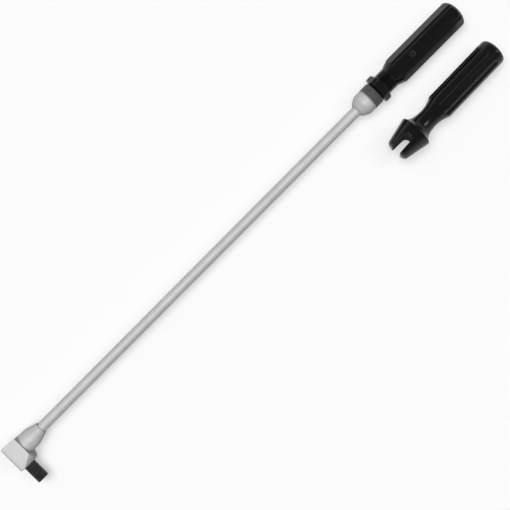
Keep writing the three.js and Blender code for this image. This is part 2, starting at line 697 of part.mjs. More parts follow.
// Pieces about the tube's axis
const tubeLine = new THREE.Group();
tubeLine.position.z = axisHeight;
bitDriver.add(tubeLine);
place(tubeLine, 'head_housing', headHousing(), SATIN_CHROME);
place(tubeLine, 'head_ferrule', headFerrule(), SATIN_CHROME);
place(tubeLine, 'outer_tube', ring(tubeStart, tubeEnd - END_GAP, tubeBoreRadius, tubeRadius, OUTER_SIDES), SATIN_CHROME);
place(tubeLine, 'rear_collar', rearCollar(), SATIN_CHROME);
place(tubeLine, 'knurled_ring', knurledRing(), SATIN_CHROME);
place(tubeLine, 'front_bush', ring(frontBushStart, frontBushEnd, shaftBearingRadius, tubeRadius), BRONZE);
place(tubeLine, 'rear_bush', ring(rearBushStart, collarSpigotEnd, shaftBearingRadius, rearBushRadius), BRONZE);
place(tubeLine, 'drive_shaft', driveShaft(), BRIGHT_STEEL);
place(tubeLine, 'drive_pinion', bevelGear(Math.PI, SHAFT_SEAT_DIAMETER / 2 + FIT_GAP), BRIGHT_STEEL);
place(tubeLine, 'pinion_pin', crossPin(), SPRING_STEEL);
const washerEnd = washerStart + WASHER_THICKNESS;
place(tubeLine, 'pinion_washer', ring(washerStart, washerEnd, shaftBearingRadius, WASHER_RADIUS), SPRING_STEEL);
place(tubeLine, 'handle', handle(), BLACK_PLASTIC);
place(tubeLine, 'handle_screw', handleScrew(), BLACK_STEEL);
const handleWasherEnd = handleWasherStart + HANDLE_WASHER;
const handleWasherRadius = HANDLE_WASHER_DIAMETER / 2;
const handleWasher = ring(handleWasherStart, handleWasherEnd, shaftBearingRadius, handleWasherRadius);
place(tubeLine, 'handle_washer', handleWasher, BLACK_NYLON);

// Pieces about the bit axis, made along +X and turned to point along -Y
const bitLine = new THREE.Group();
bitLine.rotation.z = -Math.PI / 2;
tubeLine.add(bitLine);
const outputBush = ring(outputBushStart, outputBushEnd, journalRadius + RUN_GAP, outputBushRadius);
place(bitLine, 'output_bush', outputBush, BRONZE);
place(bitLine, 'output_circlip', outputCirclip(), SPRING_STEEL);
place(bitLine, 'bit_socket', bitSocket(), BLACK_STEEL);
place(bitLine, 'output_gear', bevelGear(Math.PI / TEETH, GEAR_SEAT_DIAMETER / 2 + FIT_GAP), BRIGHT_STEEL);
place(bitLine, 'gear_pin', crossPin(), SPRING_STEEL);
place(bitLine, 'output_washer', ring(washerStart, washerEnd, journalRadius + RUN_GAP, WASHER_RADIUS), SPRING_STEEL);
place(bitLine, 'bit_magnet', rod(magnetStart, magnetEnd, MAGNET_DIAMETER / 2), BRIGHT_STEEL);
place(bitLine, 'bit_clip', bitClip(), SPRING_STEEL);

// Fork handle, lying on the rims of its flare and of its rounded end
const rimReach = forkGripEnd - FORK_NOSE_LENGTH;
const forkPitch = Math.asin((forkFlareRadius - forkGripRadius) / rimReach);
const forkTipHeight = forkFlareRadius * Math.cos(forkPitch) + FORK_NOSE_LENGTH * Math.sin(forkPitch);
const forkLine = new THREE.Group();
forkLine.rotation.set(FORK_ROLL, forkPitch, FORK_YAW, 'ZYX');
forkLine.position.set(FORK_TIP_X, FORK_TIP_Y, forkTipHeight);
bitDriver.add(forkLine);
place(forkLine, 'fork_handle', forkHandle(), BLACK_PLASTIC);

export default bitDriver;
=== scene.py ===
"""Angled bit driver: the looks of the driver and its fork handle, built around the CAD frame.

Sizes are in millimetres until a mesh is made. X runs along the tube from the head to the handle,
and the bit socket points along -Y. Heights in the pieces' own sizes are counted from the tube's axis.
"""

import math

import bmesh
import bpy
import numpy as np
from bpy.props import FloatProperty, FloatVectorProperty, IntProperty, PointerProperty
from mathutils import Euler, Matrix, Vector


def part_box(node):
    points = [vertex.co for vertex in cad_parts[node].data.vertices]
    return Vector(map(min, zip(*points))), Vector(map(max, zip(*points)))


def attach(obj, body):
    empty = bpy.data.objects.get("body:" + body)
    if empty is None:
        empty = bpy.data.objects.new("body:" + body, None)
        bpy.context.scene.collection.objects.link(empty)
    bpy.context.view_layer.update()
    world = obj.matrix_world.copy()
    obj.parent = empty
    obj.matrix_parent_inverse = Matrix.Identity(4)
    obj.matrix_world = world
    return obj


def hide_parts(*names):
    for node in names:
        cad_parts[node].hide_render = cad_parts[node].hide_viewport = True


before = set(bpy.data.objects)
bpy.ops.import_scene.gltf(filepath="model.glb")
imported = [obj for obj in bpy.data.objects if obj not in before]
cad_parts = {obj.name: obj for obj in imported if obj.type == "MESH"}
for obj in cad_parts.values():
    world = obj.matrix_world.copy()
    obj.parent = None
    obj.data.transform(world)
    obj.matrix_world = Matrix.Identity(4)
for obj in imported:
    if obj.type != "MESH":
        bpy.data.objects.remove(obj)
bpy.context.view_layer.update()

bl_info = {
    "name": "Angled bit driver",
    "version": (1, 0, 0),
    "blender": (4, 5, 0),
    "location": "View3D > Sidebar > Bit driver",
    "description": "Builds a right-angle bit driver and its fork handle around the CAD frame",
    "category": "Object",
}

MM = 0.001
X, Y, Z = range(3)
WHITE = (1, 1, 1, 1)


def node_span(node, axis):
    """Start and end of a CAD node along an axis, in millimetres."""
    low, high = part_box(node)
    return low[axis] / MM, high[axis] / MM


def half_size(node, axis):
    """Half the size of a CAD node along an axis, in millimetres."""
    low, high = node_span(node, axis)
    return (high - low) / 2


def bit_span(node):
    """Start and end of a CAD node along the bit axis, from the tube's axis."""
    low, high = node_span(node, Y)
    return -high, -low


# Clearances
FIT_GAP = 0.15
RUN_GAP = 0.25
END_GAP = 0.2
SEAT_GAP = 0.03
GEAR_GAP = 0.4

# Places and sizes that the frame gives
AXIS_HEIGHT = sum(node_span("outer_tube", Z)) / 2
HALF_THICKNESS = half_size("head_housing", Z)
HEAD_END, HEAD_SHOULDER = node_span("head_housing", X)
HEAD_MOUTH, HEAD_BACK_END = node_span("head_housing", Y)
SPIGOT_START, FERRULE_END = node_span("head_ferrule", X)
FERRULE_RADIUS = half_size("head_ferrule", Y)
TUBE_START, TUBE_END = node_span("outer_tube", X)
TUBE_RADIUS = half_size("outer_tube", Y)
COLLAR_START, COLLAR_SPIGOT_END = node_span("rear_collar", X)
COLLAR_RADIUS = half_size("rear_collar", Y)
RING_START, RING_END = node_span("knurled_ring", X)
RING_RADIUS = half_size("knurled_ring", Z)
HANDLE_FRONT, HANDLE_END = node_span("handle", X)
SHAFT_END = node_span("drive_shaft", X)[1]
SHAFT_RADIUS = half_size("drive_shaft", Z)
SCREW_X = sum(node_span("handle_screw", X)) / 2
SCREW_RADIUS = half_size("handle_screw", X)
SCREW_LOW, SCREW_HIGH = (height - AXIS_HEIGHT for height in node_span("handle_screw", Z))
SOCKET_START, SOCKET_REACH = bit_span("bit_socket")
SOCKET_RADIUS = half_size("bit_socket", X)
BUSH_START = bit_span("output_bush")[0]
CIRCLIP_START, CIRCLIP_END = bit_span("output_circlip")
CIRCLIP_RADIUS = half_size("output_circlip", X)
MAGNET_START, MAGNET_END = bit_span("bit_magnet")
MAGNET_RADIUS = half_size("bit_magnet", X)
CLIP_STATION = sum(bit_span("bit_clip")) / 2
CLIP_RADIUS = half_size("bit_clip", X)
WIRE_RADIUS = half_size("bit_clip", Y)
CHAMBER_RADIUS = half_size("drive_pinion", Y) + GEAR_GAP

# Hexagons: the turn from one side to the next
HEX_TURN = math.pi / 3
HEX_COSINE = math.cos(HEX_TURN / 2)

# Turned pieces: rounding, points round them, and degrees over which edges stay sharp
TURNED_EDGE = 0.3
TURNED_SIDES = 96
SMALL_SIDES = 48
SHARP_ANGLE = 40
SHARP_DETAIL_ANGLE = 30

# How far an outline or a grid goes on past a piece's end
OVERRUN = 1
GRID_MARGIN = 0.8

# Head
HEAD_BACK_SHOULDER = 10.4
HEAD_CONE_RADIUS = 16.2
HEAD_CONE_SLOPE = 0.385
HEAD_CORNER = 2.6
HEAD_STEP = 0.3
MOUTH_CHAMFER = 0.3
SHOULDER_EDGE = 0.12

# Ferrule, tube and rear collar
SPIGOT_RADIUS = 7.8
FERRULE_BARREL = 10
FERRULE_TIP_RADIUS = 6.2
FERRULE_TIP_EDGE = 0.7
FERRULE_KNEE = 3
MOUTH_GAP = 0.45
MOUTH_DEPTH = 1.5
MOUTH_EDGE = 0.2
FERRULE_CAVITY_RADIUS = 5.45
LIP_START = 9.1
LIP_END = 11
LIP_RADIUS = 3
TUBE_WALL = 1.4
COLLAR_SPIGOT_RADIUS = 8.5
REAR_BUSH_RADIUS = 6

# Outside of the rear collar: (distance from its tip, radius, rounding)
COLLAR_OUTSIDE = ((0, 5.35, 0.1), (1.6, 7.75, 0.4), (7.9, COLLAR_RADIUS, 1.2), (14.9, COLLAR_RADIUS, 0.7))

# Knurled ring: ends of its bead and knurl as (distance from the end, drop)
RING_BEAD = 0.7
BEAD_FRONT = ((0, 0.6), (0.1, 0.2), (0.3, 0))
BEAD_REAR = ((0.25, 0), (0.08, 0.08), (0, 0.25))
KNURL_LEAD = ((0.02, 0.15), (0.3, 0))
KNURL_RUNOUT = ((0.6, 0), (0.15, 0.4), (0, 0.7))
KNURL_SINK = 0.15
RING_LIP_START = COLLAR_SPIGOT_END + END_GAP

# Knurl: share of the pitch that is groove, and places on a ridge in shares of half its width
KNURL_SHARE = 0.58
RIDGE_TOP = 0.92
RIDGE_SHOULDER = 1.12
RIDGE_SHOULDER_DROP = 0.16
RIDGE_FOOT = 1.3
# Depth below the ridge tops from which the knurl's faces get the painted shade of the grooves, and the
# margin that keeps the bore out of it
GROOVE_DROP = 0.25
BORE_MARGIN = 0.5

# Handle
FLANGE_FRONT_RADIUS = 9.7
FLANGE_END = HANDLE_FRONT + 8.8
FLANGE_FRONT_CHAMFER = 1.8
FLANGE_REAR_CHAMFER = 2.5
NECK_END = FLANGE_END + 10
NECK_RADIUS = 9.3
RIB_RADIUS = 11
RIB_SAMPLES = 240
RIB_PHASE = 0.3
RIB_FULLNESS = 0.8
LAST_RIB_SHARE = 0.5
GRIP_START = NECK_END + 12.6
GRIP_REACH = HALF_THICKNESS / HEX_COSINE
GRIP_DOME = 9
SCREW_SINK_SLOPE = 1.1
SCREW_SINK_EDGE = 0.2
# Radius of the ring round the screw's hole that gets the painted highlight
PAINTED_HIGHLIGHT_RADIUS = 2.9

# Grid of the handle: (end, step) of its stretches from the front, and the step across it
HANDLE_GRID_START = HANDLE_FRONT - 0.6
HANDLE_GRID = (
    (NECK_END + 0.9, 0.3),
    (GRIP_START + 2.1, 0.4),
    (SCREW_X - 3.5, 1.5),
    (SCREW_X + 3.5, 0.25),
    (HANDLE_END - GRIP_DOME - 1, 1.5),
    (HANDLE_END + OVERRUN, 0.35),
)
HANDLE_STEP = 0.35

# Grub screw and thrust washer
SCREW_POINT = 0.4
SCREW_EDGE = 0.25
SCREW_KEY = 1.5
SCREW_KEY_LEAD = 0.12
SCREW_KEY_LEAD_DEPTH = 0.15
WASHER_EDGE = 0.15
WASHER_SIDES = 72

# Bit socket, spring ring and magnet
JOURNAL_RADIUS = 3.2
GEAR_SEAT_RADIUS = 2.2
GEAR_SEAT_END = 8.35
SOCKET_SHOULDER = CIRCLIP_END + END_GAP
SOCKET_SHOULDER_EDGE = 0.4
SOCKET_CHAMFER = 0.8
SOCKET_CHAMFER_EDGE = 0.35
HEX_FLATS = 6.45
HEX_DEPTH = 14.6
HEX_LEAD_RADIUS = 4.15
HEX_LEAD_DEPTH = 1
HEX_LEAD_SECTIONS = 6
CLIP_GAP = math.radians(25)
CLIP_STEPS = 49
WIRE_SIDES = 12
WIRE_FLATNESS = 0.85
MAGNET_CAP_RADIUS = 0.4

# Fork handle, along its own axis from the prong tips; pulls bend its outline
FORK_NOSE_TIP_RADIUS = 11.1
FORK_NOSE_ROUNDING = 3.6
FORK_NOSE_LENGTH = 27.6
FORK_FLARE_RADIUS = 17
FORK_RISE = (FORK_NOSE_LENGTH - 2, FORK_FLARE_RADIUS + 6)
FORK_RIM_EDGE = 0.7
FORK_COVE_PULL = (30.2, 12)
FORK_COVE_END = (36, 10.75)
FORK_WAIST_PULL = (49.5, 7.9)
FORK_BEND_SAMPLES = 40
FORK_GRIP_START = 60
FORK_GRIP_RADIUS = 13.7
FORK_GRIP_END = 131.7
FORK_END = 136.1
FORK_FLUTE_STOP = 8
FORK_FLUTE_TURN = math.radians(7)
FORK_SLOT_DEPTH = 19.1
# How near the slot's walls a face must be to get the painted reflection
SLOT_PAINT_REACH = 0.1
FORK_TIP = (455.4, -54.1)
FORK_YAW = math.radians(0.9)
FORK_ROLL = math.radians(-10)

# Grid of the fork handle: where its flutes are full, and the steps of its stretches
FLUTES_FULL = FORK_GRIP_START + 6
FORK_STEP = 0.4
WAIST_STEP = 0.6
FLUTE_STEP = 2

# Noise values between which a finish goes from one look to the other
NOISE_LOW = 0.3
NOISE_HIGH = 0.7

# Lamps: strength, place that each shines from, width in degrees, and whether gloss shows it
LAMPS = {
    "top_lamp": ("top_strength", (-0.1, 0.16, 1), 40, False),
    "key_lamp": ("key_strength", (0.8, -0.42, 1), 18, True),
    "fill_lamp": ("fill_strength", (-0.1, 0.9, 0.9), 40, False),
}

# Softbox overhead: its lean towards +Y in degrees, and how fast it fades to its sides
SOFTBOX_LEAN = 14
SOFTBOX_FALLOFF = 4

# Heights in the sky between which the studio goes from its sides to its overhead
SKY_FADE = (0.1, 0.5)

# Strip lamp that makes the tube's sheen: width, height, and spread of its beam in degrees
STRIP_WIDTH = 34
STRIP_HEIGHT = 300
STRIP_SPREAD = 4

# Floor: half its side in metres, its drop, and the share of it that shows plain white
FLOOR_HALF_SIDE = 4
FLOOR_DROP = 0.05
FLOOR_GLOW = 0.4

# Camera: sensor width, and the nearest place that it shows in metres
SENSOR_WIDTH = 36
NEAREST_SHOWN = 0.01


def length_property(name, description, millimetres):
    """A length that the user can change."""
    return FloatProperty(name=name, description=description, default=millimetres * MM, unit="LENGTH")


def strength_property(name, description, default):
    """A strength that the user can change."""
    return FloatProperty(name=name, description=description, default=default)


def colour_property(name, description, default):
    """A colour that the user can pick."""
    return FloatVectorProperty(
        name=name, description=description, default=default, subtype="COLOR", size=3, min=0, max=1,
    )


class BitDriverSizes(bpy.types.PropertyGroup):
    """Sizes of details that can change without moving a piece."""

    head_edge: length_property("Head edge", "Rounding of the head's machined edges", 0.5)
    moulding_edge: length_property("Moulding edge", "Rounding of the plastic mouldings' edges", 0.3)
    groove_radius: length_property("Grip groove", "Radius of the grooves along the grip's corners", 2.4)
    groove_reach: length_property("Grip groove reach", "Tube axis to the centre of a grip groove", 15.5)
    rib_count: IntProperty(name="Neck ribs", description="Ribs round the handle's neck", default=4)
    knurl_count: IntProperty(name="Knurl", description="Grooves round the knurled ring", default=32)
    knurl_depth: length_property("Knurl depth", "Depth of the knurled ring's grooves", 0.75)
    flute_count: IntProperty(name="Flutes", description="Flutes round the fork handle", default=6)
    flute_radius: length_property("Flute radius", "Radius of the fork handle's flutes", 4.5)
    flute_depth: length_property("Flute depth", "Depth of the fork handle's flutes", 1.75)
    slot_width: length_property("Fork slot", "Width of the slot that snaps over the tube", 9.3)


class BitDriverColours(bpy.types.PropertyGroup):
    """Colours of the finishes, in linear light."""

    satin: colour_property("Satin metal", "Head, ferrule, tube, collar and ring", (0.58, 0.576, 0.588))
    plastic: colour_property("Black moulding", "Handle and fork handle", (0.0018, 0.0018, 0.002))
    # Painted highlight: the ring round the screw's hole is painted lighter for the light that its
    # countersink catches
    scuffed_hole: colour_property("Scuffed hole", "Ring round the screw's hole", (0.035, 0.035, 0.036))
    # Painted reflection: the slot's walls are painted grey, with no gloss, for the dim reflection they show
    scuffed_slot: colour_property("Scuffed slot", "Walls of the fork's slot", (0.14, 0.14, 0.143))
    blackened: colour_property("Blackened steel", "Bit socket and screw", (0.03, 0.03, 0.033))
    # Painted shade: the floors and low walls of the knurl's grooves are painted near black for the shadow
    # in them
    groove: colour_property("Knurl grooves", "Floors of the ring's grooves", (0.003, 0.003, 0.003))
    bright: colour_property("Bright steel", "Shaft, gears and magnet", (0.6, 0.6, 0.62))
    spring: colour_property("Spring steel", "Pins, washers and rings", (0.22, 0.22, 0.24))
    bronze: colour_property("Bronze", "Bushes", (0.52, 0.29, 0.1))
    # Painted shade: the knurl's ridges are a darker copy of the satin metal
    ridge: colour_property("Knurl ridges", "Tops of the ring's ridges", (0.22, 0.22, 0.225))
    floor: colour_property("Floor", "Plain floor under the object", (0.97, 0.97, 0.97))
    bounce: colour_property("Floor bounce", "Light that the floor gives back", (0.12, 0.12, 0.12))


class BitDriverStage(bpy.types.PropertyGroup):
    """Camera and light."""

    camera_x: length_property("Camera X", "Place of the camera along the tube", 292.2)
    camera_y: length_property("Camera Y", "Place of the camera across the tube", -28.3)
    camera_height: length_property("Camera height", "Tube axis to the camera", 1052)
    picture_width: length_property("Picture width", "Width of the picture at the tube's height", 485.2)
    turn: FloatProperty(
        name="Camera turn", description="Turn of the picture about the vertical",
        default=math.radians(-45.13), subtype="ANGLE",
    )
    sky: strength_property("Sky", "Strength of the softbox overhead", 0.15)
    overhead: strength_property("Overhead", "Brightness of the studio overhead in reflections", 0.25)
    top_strength: strength_property("Top lamp", "Strength of the lamp overhead", 2.3)
    key_strength: strength_property("Key lamp", "Strength of the lamp at the right", 0.4)
    fill_strength: strength_property("Fill lamp", "Strength of the soft lamp at the left", 0.1)
    strip_power: strength_property("Strip lamp", "Power of the strip over the tube, in watts", 0.03)


def in_mm(length):
    """Millimetres of a property that holds metres."""
    return length / MM


# Materials


def new_material(name):
    """A material and its shader."""
    material = bpy.data.materials.new(name)
    material.use_nodes = True
    return material, material.node_tree.nodes["Principled BSDF"]


def set_plain(shader, colour, roughness, metallic=0, specular=0.5):
    """Sets a shader's plain values."""
    shader.inputs["Base Color"].default_value = (*colour, 1)
    shader.inputs["Roughness"].default_value = roughness
    shader.inputs["Metallic"].default_value = metallic
    shader.inputs["Specular IOR Level"].default_value = specular


def add_node(tree, kind, links=(), **values):
    """Adds a node, sets its sockets and properties, and links (socket, source output) pairs."""
    node = tree.nodes.new(kind)
    for name, value in values.items():
        socket = node.inputs.get(name.replace("_", " "))
        if socket is None:
            setattr(node, name, value)
        else:
            socket.default_value = value
    for name, output in links:
        tree.links.new(output, node.inputs[name])
    return node


def reckon(tree, operation, *terms):
    """Result of a Math node on terms, each a number or another node's output."""
    node = add_node(tree, "ShaderNodeMath", operation=operation)
    for socket, term in zip(node.inputs, terms):
        if isinstance(term, bpy.types.NodeSocket):
            tree.links.new(term, socket)
        else:
            socket.default_value = term
    return node.outputs["Value"]


def mixed(tree, share, first, second):
    """Output of two shaders mixed by the share of the second."""
    node = add_node(tree, "ShaderNodeMixShader", [(0, share), (1, first), (2, second)])
    return node.outputs["Shader"]


def noise(tree, scale, detail=3, stretch=(1, 1, 1)):
    """Noise in the object's own space, in features per metre, stretched along the axes."""
    place = add_node(tree, "ShaderNodeTexCoord")
    mapping = add_node(tree, "ShaderNodeMapping", [("Vector", place.outputs["Object"])], Scale=stretch)
    found = add_node(
        tree, "ShaderNodeTexNoise", [("Vector", mapping.outputs["Vector"])], Scale=scale, Detail=detail,
    )
    return found.outputs["Fac"]


def spread(tree, source, low, high, start=NOISE_LOW, end=NOISE_HIGH):
    """A value that goes from low to high while its source goes from start to end."""
    node = add_node(
        tree, "ShaderNodeMapRange", [("Value", source)],
        From_Min=start, From_Max=end, To_Min=low, To_Max=high,
    )
    return node.outputs["Result"]


def ramp(tree, source, first, second, start=NOISE_LOW, end=NOISE_HIGH):
    """A colour that goes from the first to the second while its source goes from start to end."""
    node = add_node(tree, "ShaderNodeValToRGB", [("Fac", source)])
    for element, place, colour in zip(node.color_ramp.elements, (start, end), (first, second)):
        element.position = place
        element.color = (*colour, 1)
    return node.outputs["Color"]


def vary_colour(shader, colour, dark, light, **pattern):
    """Lets a shader's colour go between two shares of a colour, in a noise pattern."""
    tree = shader.id_data
    shades = [[min(1, share * part) for part in colour] for share in (dark, light)]
    tree.links.new(ramp(tree, noise(tree, **pattern), *shades), shader.inputs["Base Color"])


def vary_roughness(shader, low, high, **pattern):
    """Lets a shader's roughness go between two values, in a noise pattern."""
    tree = shader.id_data
    tree.links.new(spread(tree, noise(tree, **pattern), low, high), shader.inputs["Roughness"])


def add_bump(shader, height, strength, **pattern):
    """Gives a shader fine relief of a height in millimetres, in a noise pattern."""
    tree = shader.id_data
    relief = noise(tree, **pattern)
    node = add_node(tree, "ShaderNodeBump", [("Height", relief)], Distance=height * MM, Strength=strength)
    tree.links.new(node.outputs["Normal"], shader.inputs["Normal"])


def seen_directly(tree):
    """One for rays that show a surface to the camera, also in a reflection, and else zero."""
    rays = add_node(tree, "ShaderNodeLightPath").outputs
    seen = reckon(tree, "MAXIMUM", rays["Is Camera Ray"], rays["Is Glossy Ray"])
    return reckon(tree, "MAXIMUM", seen, rays["Is Transmission Ray"])


def satin_metal(shader, colour):
    """Satin plated steel: even fine grain, faint cloudiness and handling marks."""
    set_plain(shader, colour, roughness=0.55, metallic=0.15, specular=0.2)
    vary_colour(shader, colour, dark=0.95, light=1.04, scale=90)
    vary_roughness(shader, low=0.5, high=0.6, scale=700, detail=5)
    add_bump(shader, height=0.03, strength=0.12, scale=5200, detail=2)


def black_moulding(shader, colour):
    """Semi-gloss black plastic: faint moulded texture and a few dull rubbed patches."""
    rubbed = {"scale": 130, "detail": 4, "stretch": (0.35, 1, 1)}
    set_plain(shader, colour, roughness=0.2, specular=0.35)
    vary_colour(shader, colour, dark=1, light=1.5, **rubbed)
    vary_roughness(shader, low=0.2, high=0.25, **rubbed)
    add_bump(shader, height=0.04, strength=0.03, scale=2600)


def painted_light_moulding(shader, colour):
    """Black plastic painted lighter, with no gloss, as a painted highlight and a painted reflection: dull,
    with fine scratches.
    """
    set_plain(shader, colour, roughness=0.6, specular=0)
    vary_colour(shader, colour, dark=0.6, light=1.4, scale=1800, detail=4)
    add_bump(shader, height=0.03, strength=0.3, scale=5000)


def blackened_steel(shader, colour):
    """Blackened steel: fine turning marks round the axis and slightly uneven oxide."""
    set_plain(shader, colour, roughness=0.42, metallic=0.6)
    vary_colour(shader, colour, dark=0.75, light=1.35, scale=240, detail=4)
    vary_roughness(shader, low=0.5, high=0.62, scale=900, detail=4)
    add_bump(shader, height=0.03, strength=0.2, scale=800, stretch=(0.4, 6, 0.4))


def machined_metal(shader, colour, roughness):
    """Machined metal inside the tool: a thin film of grease over fine tool marks."""
    set_plain(shader, colour, roughness, metallic=1)
    vary_colour(shader, colour, dark=0.85, light=1.1, scale=300)
    vary_roughness(shader, low=roughness - 0.08, high=roughness + 0.1, scale=600)
    add_bump(shader, height=0.03, strength=0.15, scale=2500, detail=2, stretch=(3, 1, 1))


def painted_groove_shade(shader, colour):
    """Painted shade in the grooves of the knurl: near black and dull, for the shadow deep in them."""
    set_plain(shader, colour, roughness=0.7, specular=0.05)
    vary_colour(shader, colour, dark=0.7, light=1.5, scale=1500, detail=2)
    add_bump(shader, height=0.03, strength=0.2, scale=4000, detail=2)


# Finishes: what makes each of them, its colour, and its roughness where the maker asks for one
FINISHES = {
    "satin_metal": (satin_metal, "satin"),
    # The knurl's ridges: the satin finish in a darker colour, as painted shade
    "ridge_metal": (satin_metal, "ridge"),
    "knurl_groove": (painted_groove_shade, "groove"),
    "black_moulding": (black_moulding, "plastic"),
    # Plastic painted lighter: a painted highlight round the screw's hole and a painted reflection on the
    # slot's walls
    "scuffed_hole": (painted_light_moulding, "scuffed_hole"),
    "scuffed_slot": (painted_light_moulding, "scuffed_slot"),
    "blackened_steel": (blackened_steel, "blackened"),
    "bronze_metal": (machined_metal, "bronze", 0.4),
    "bright_metal": (machined_metal, "bright", 0.3),
    "spring_metal": (machined_metal, "spring", 0.35),
}


# Pieces: the body, the CAD node and the material slot of each, and its finishes
PIECES = {
    "gear_head": ("housing", "head_housing", "satin_chrome", "satin_metal"),
    "ferrule_sleeve": ("housing", "head_ferrule", "satin_chrome", "satin_metal"),
    "long_tube": ("housing", "outer_tube", "satin_chrome", "satin_metal"),
    "cone_collar": ("housing", "rear_collar", "satin_chrome", "satin_metal"),
    "knurl_ring": ("housing", "knurled_ring", "satin_chrome", "satin_metal", "knurl_groove", "ridge_metal"),
    "grip_moulding": ("drive", "handle", "black_plastic", "black_moulding", "scuffed_hole"),
    "grub_screw": ("drive", "handle_screw", "black_steel", "blackened_steel"),
    "thrust_washer": ("drive", "handle_washer", "black_nylon", "black_moulding"),
    "hex_socket": ("output", "bit_socket", "black_steel", "blackened_steel"),
    "spring_ring": ("output", "bit_clip", "spring_steel", "spring_metal"),
    "magnet_disc": ("output", "bit_magnet", "bright_steel", "bright_metal"),
    "fork_moulding": ("fork", "fork_handle", "black_plastic", "black_moulding", "scuffed_slot"),
}


def finish(name):
    """The finish of that name, which is made once and then shared."""
    material = bpy.data.materials.get(name)
    if not material:
        material, shader = new_material(name)
        maker, colour, *values = FINISHES[name]
        maker(shader, getattr(bpy.context.scene.bit_driver_colours, colour), *values)
    return material


# Meshes


def new_object(name, data):
    """An object in the scene."""
    made = bpy.data.objects.new(name, data)
    bpy.context.scene.collection.objects.link(made)
    return made


def make_piece(name, points, faces):
    """A smooth mesh with the body and finishes that the table gives it, which hides the table's CAD node.
    """
    body, node, slot, *finishes = PIECES[name]
    mesh = bpy.data.meshes.new(name)
    mesh.from_pydata(np.asarray(points) * MM, [], faces)
    shape = bmesh.new()
    shape.from_mesh(mesh)
    bmesh.ops.recalc_face_normals(shape, faces=shape.faces)
    shape.to_mesh(mesh)
    shape.free()
    mesh.shade_smooth()
    piece = new_object(name, mesh)
    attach(piece, body)
    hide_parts(node)
    for finish_name in finishes:
        mesh.materials.append(finish(finish_name))
    return piece


def softened(corners, steps=6):
    """Points of an outline, rounded at corners [station, radius, rounding] that give a rounding."""
    places = np.array([corner[:2] for corner in corners], float)
    points = []
    for number, (place, corner) in enumerate(zip(places, corners)):
        if len(corner) < 3:
            points.append(place)
            continue
        neighbours = places[number - 1], places[(number + 1) % len(places)]
        start, end = (corner[2] * way / np.linalg.norm(way) for way in neighbours - place)
        for t in np.linspace(0, 1, steps):
            points.append(place + (1 - t) ** 2 * start + t ** 2 * end)
    return points


def plain_ring(start, end, inner, outer, edge):
    """Outline of a ring with rounded outer edges."""
    return softened([[start, inner], [start, outer, edge], [end, outer, edge], [end, inner]])


def full_circle(count):
    """Evenly spaced angles."""
    return np.arange(count) * 2 * math.pi / count


def joined(rows, closed):
    """Points and faces of a skin over rings of points.

    A closed skin goes on from its last ring to the first, and an open one is capped at both ends.
    """
    count = len(rows[0])
    faces = []
    for row in range(len(rows) if closed else len(rows) - 1):
        following = (row + 1) % len(rows)
        for i in range(count):
            j = (i + 1) % count
            faces.append((row * count + i, row * count + j, following * count + j, following * count + i))
    if not closed:
        faces.append(tuple(range(count)))
        faces.append(tuple(range((len(rows) - 1) * count, len(rows) * count)))
    return np.concatenate(rows), faces


def on_tube_axis(points):
    """Moves points made about the X axis up to the tube's axis."""
    return points + (0, 0, AXIS_HEIGHT)


def turned_piece(name, sections, angles, place=on_tube_axis, sharp_degrees=SHARP_ANGLE, closed=True):
    """A piece turned through sections (station, radius) about the X axis, then moved to its place.

    A radius is one number, or one for each angle. Flat faces stay flat between rounded edges.
    """
    rows = []
    for station, radius in sections:
        stations = np.full(len(angles), station)
        radii = np.broadcast_to(radius, len(angles))
        rows.append(np.column_stack((stations, radii * np.cos(angles), radii * np.sin(angles))))
    points, faces = joined(rows, closed)
    piece = make_piece(name, place(points), faces)
    piece.data.set_sharp_from_angle(angle=math.radians(sharp_degrees))
    piece.modifiers.new("even_normals", "WEIGHTED_NORMAL").keep_sharp = True
    return piece


def on_bit_axis(points):
    """Turns points made about the X axis to the bit axis, pointing along -Y."""
    return np.column_stack((points[:, 1], -points[:, 0], points[:, 2] + AXIS_HEIGHT))


def hexagon_radii(flats, angles):
    """Radius of a hexagon at each angle."""
    off_flat = (angles + HEX_TURN / 2) % HEX_TURN - HEX_TURN / 2
    return flats / 2 / np.cos(off_flat)


def grid_line(start, *stretches):
    """Places along one axis of a grid, from its start through stretches (end, step)."""
    places = []
    for end, step in stretches:
        places.append(np.arange(start, end - step / 2, step))
        start = end
    return np.concatenate([*places, [start]])


def meet(first, second, rounding):
    """Field of what is inside both fields, with a round edge where they meet."""
    over_first = np.maximum(first + rounding, 0)
    over_second = np.maximum(second + rounding, 0)
    return np.minimum(np.maximum(first, second), -rounding) + np.hypot(over_first, over_second)


def turned_field(station, radius, stations, radii):
    """Field of a turned body whose outline runs through the given stations and radii."""
    slope = np.interp(station, stations, np.gradient(radii, stations))
    return (radius - np.interp(station, stations, radii)) / np.hypot(1, slope)


def to_axes(angle, radius, pitch, reach):
    """Distance to the nearest of the axes that stand round X at a pitch and a reach."""
    off_axis = angle - np.round(angle / pitch) * pitch
    return np.hypot(radius * np.cos(off_axis) - reach, radius * np.sin(off_axis))


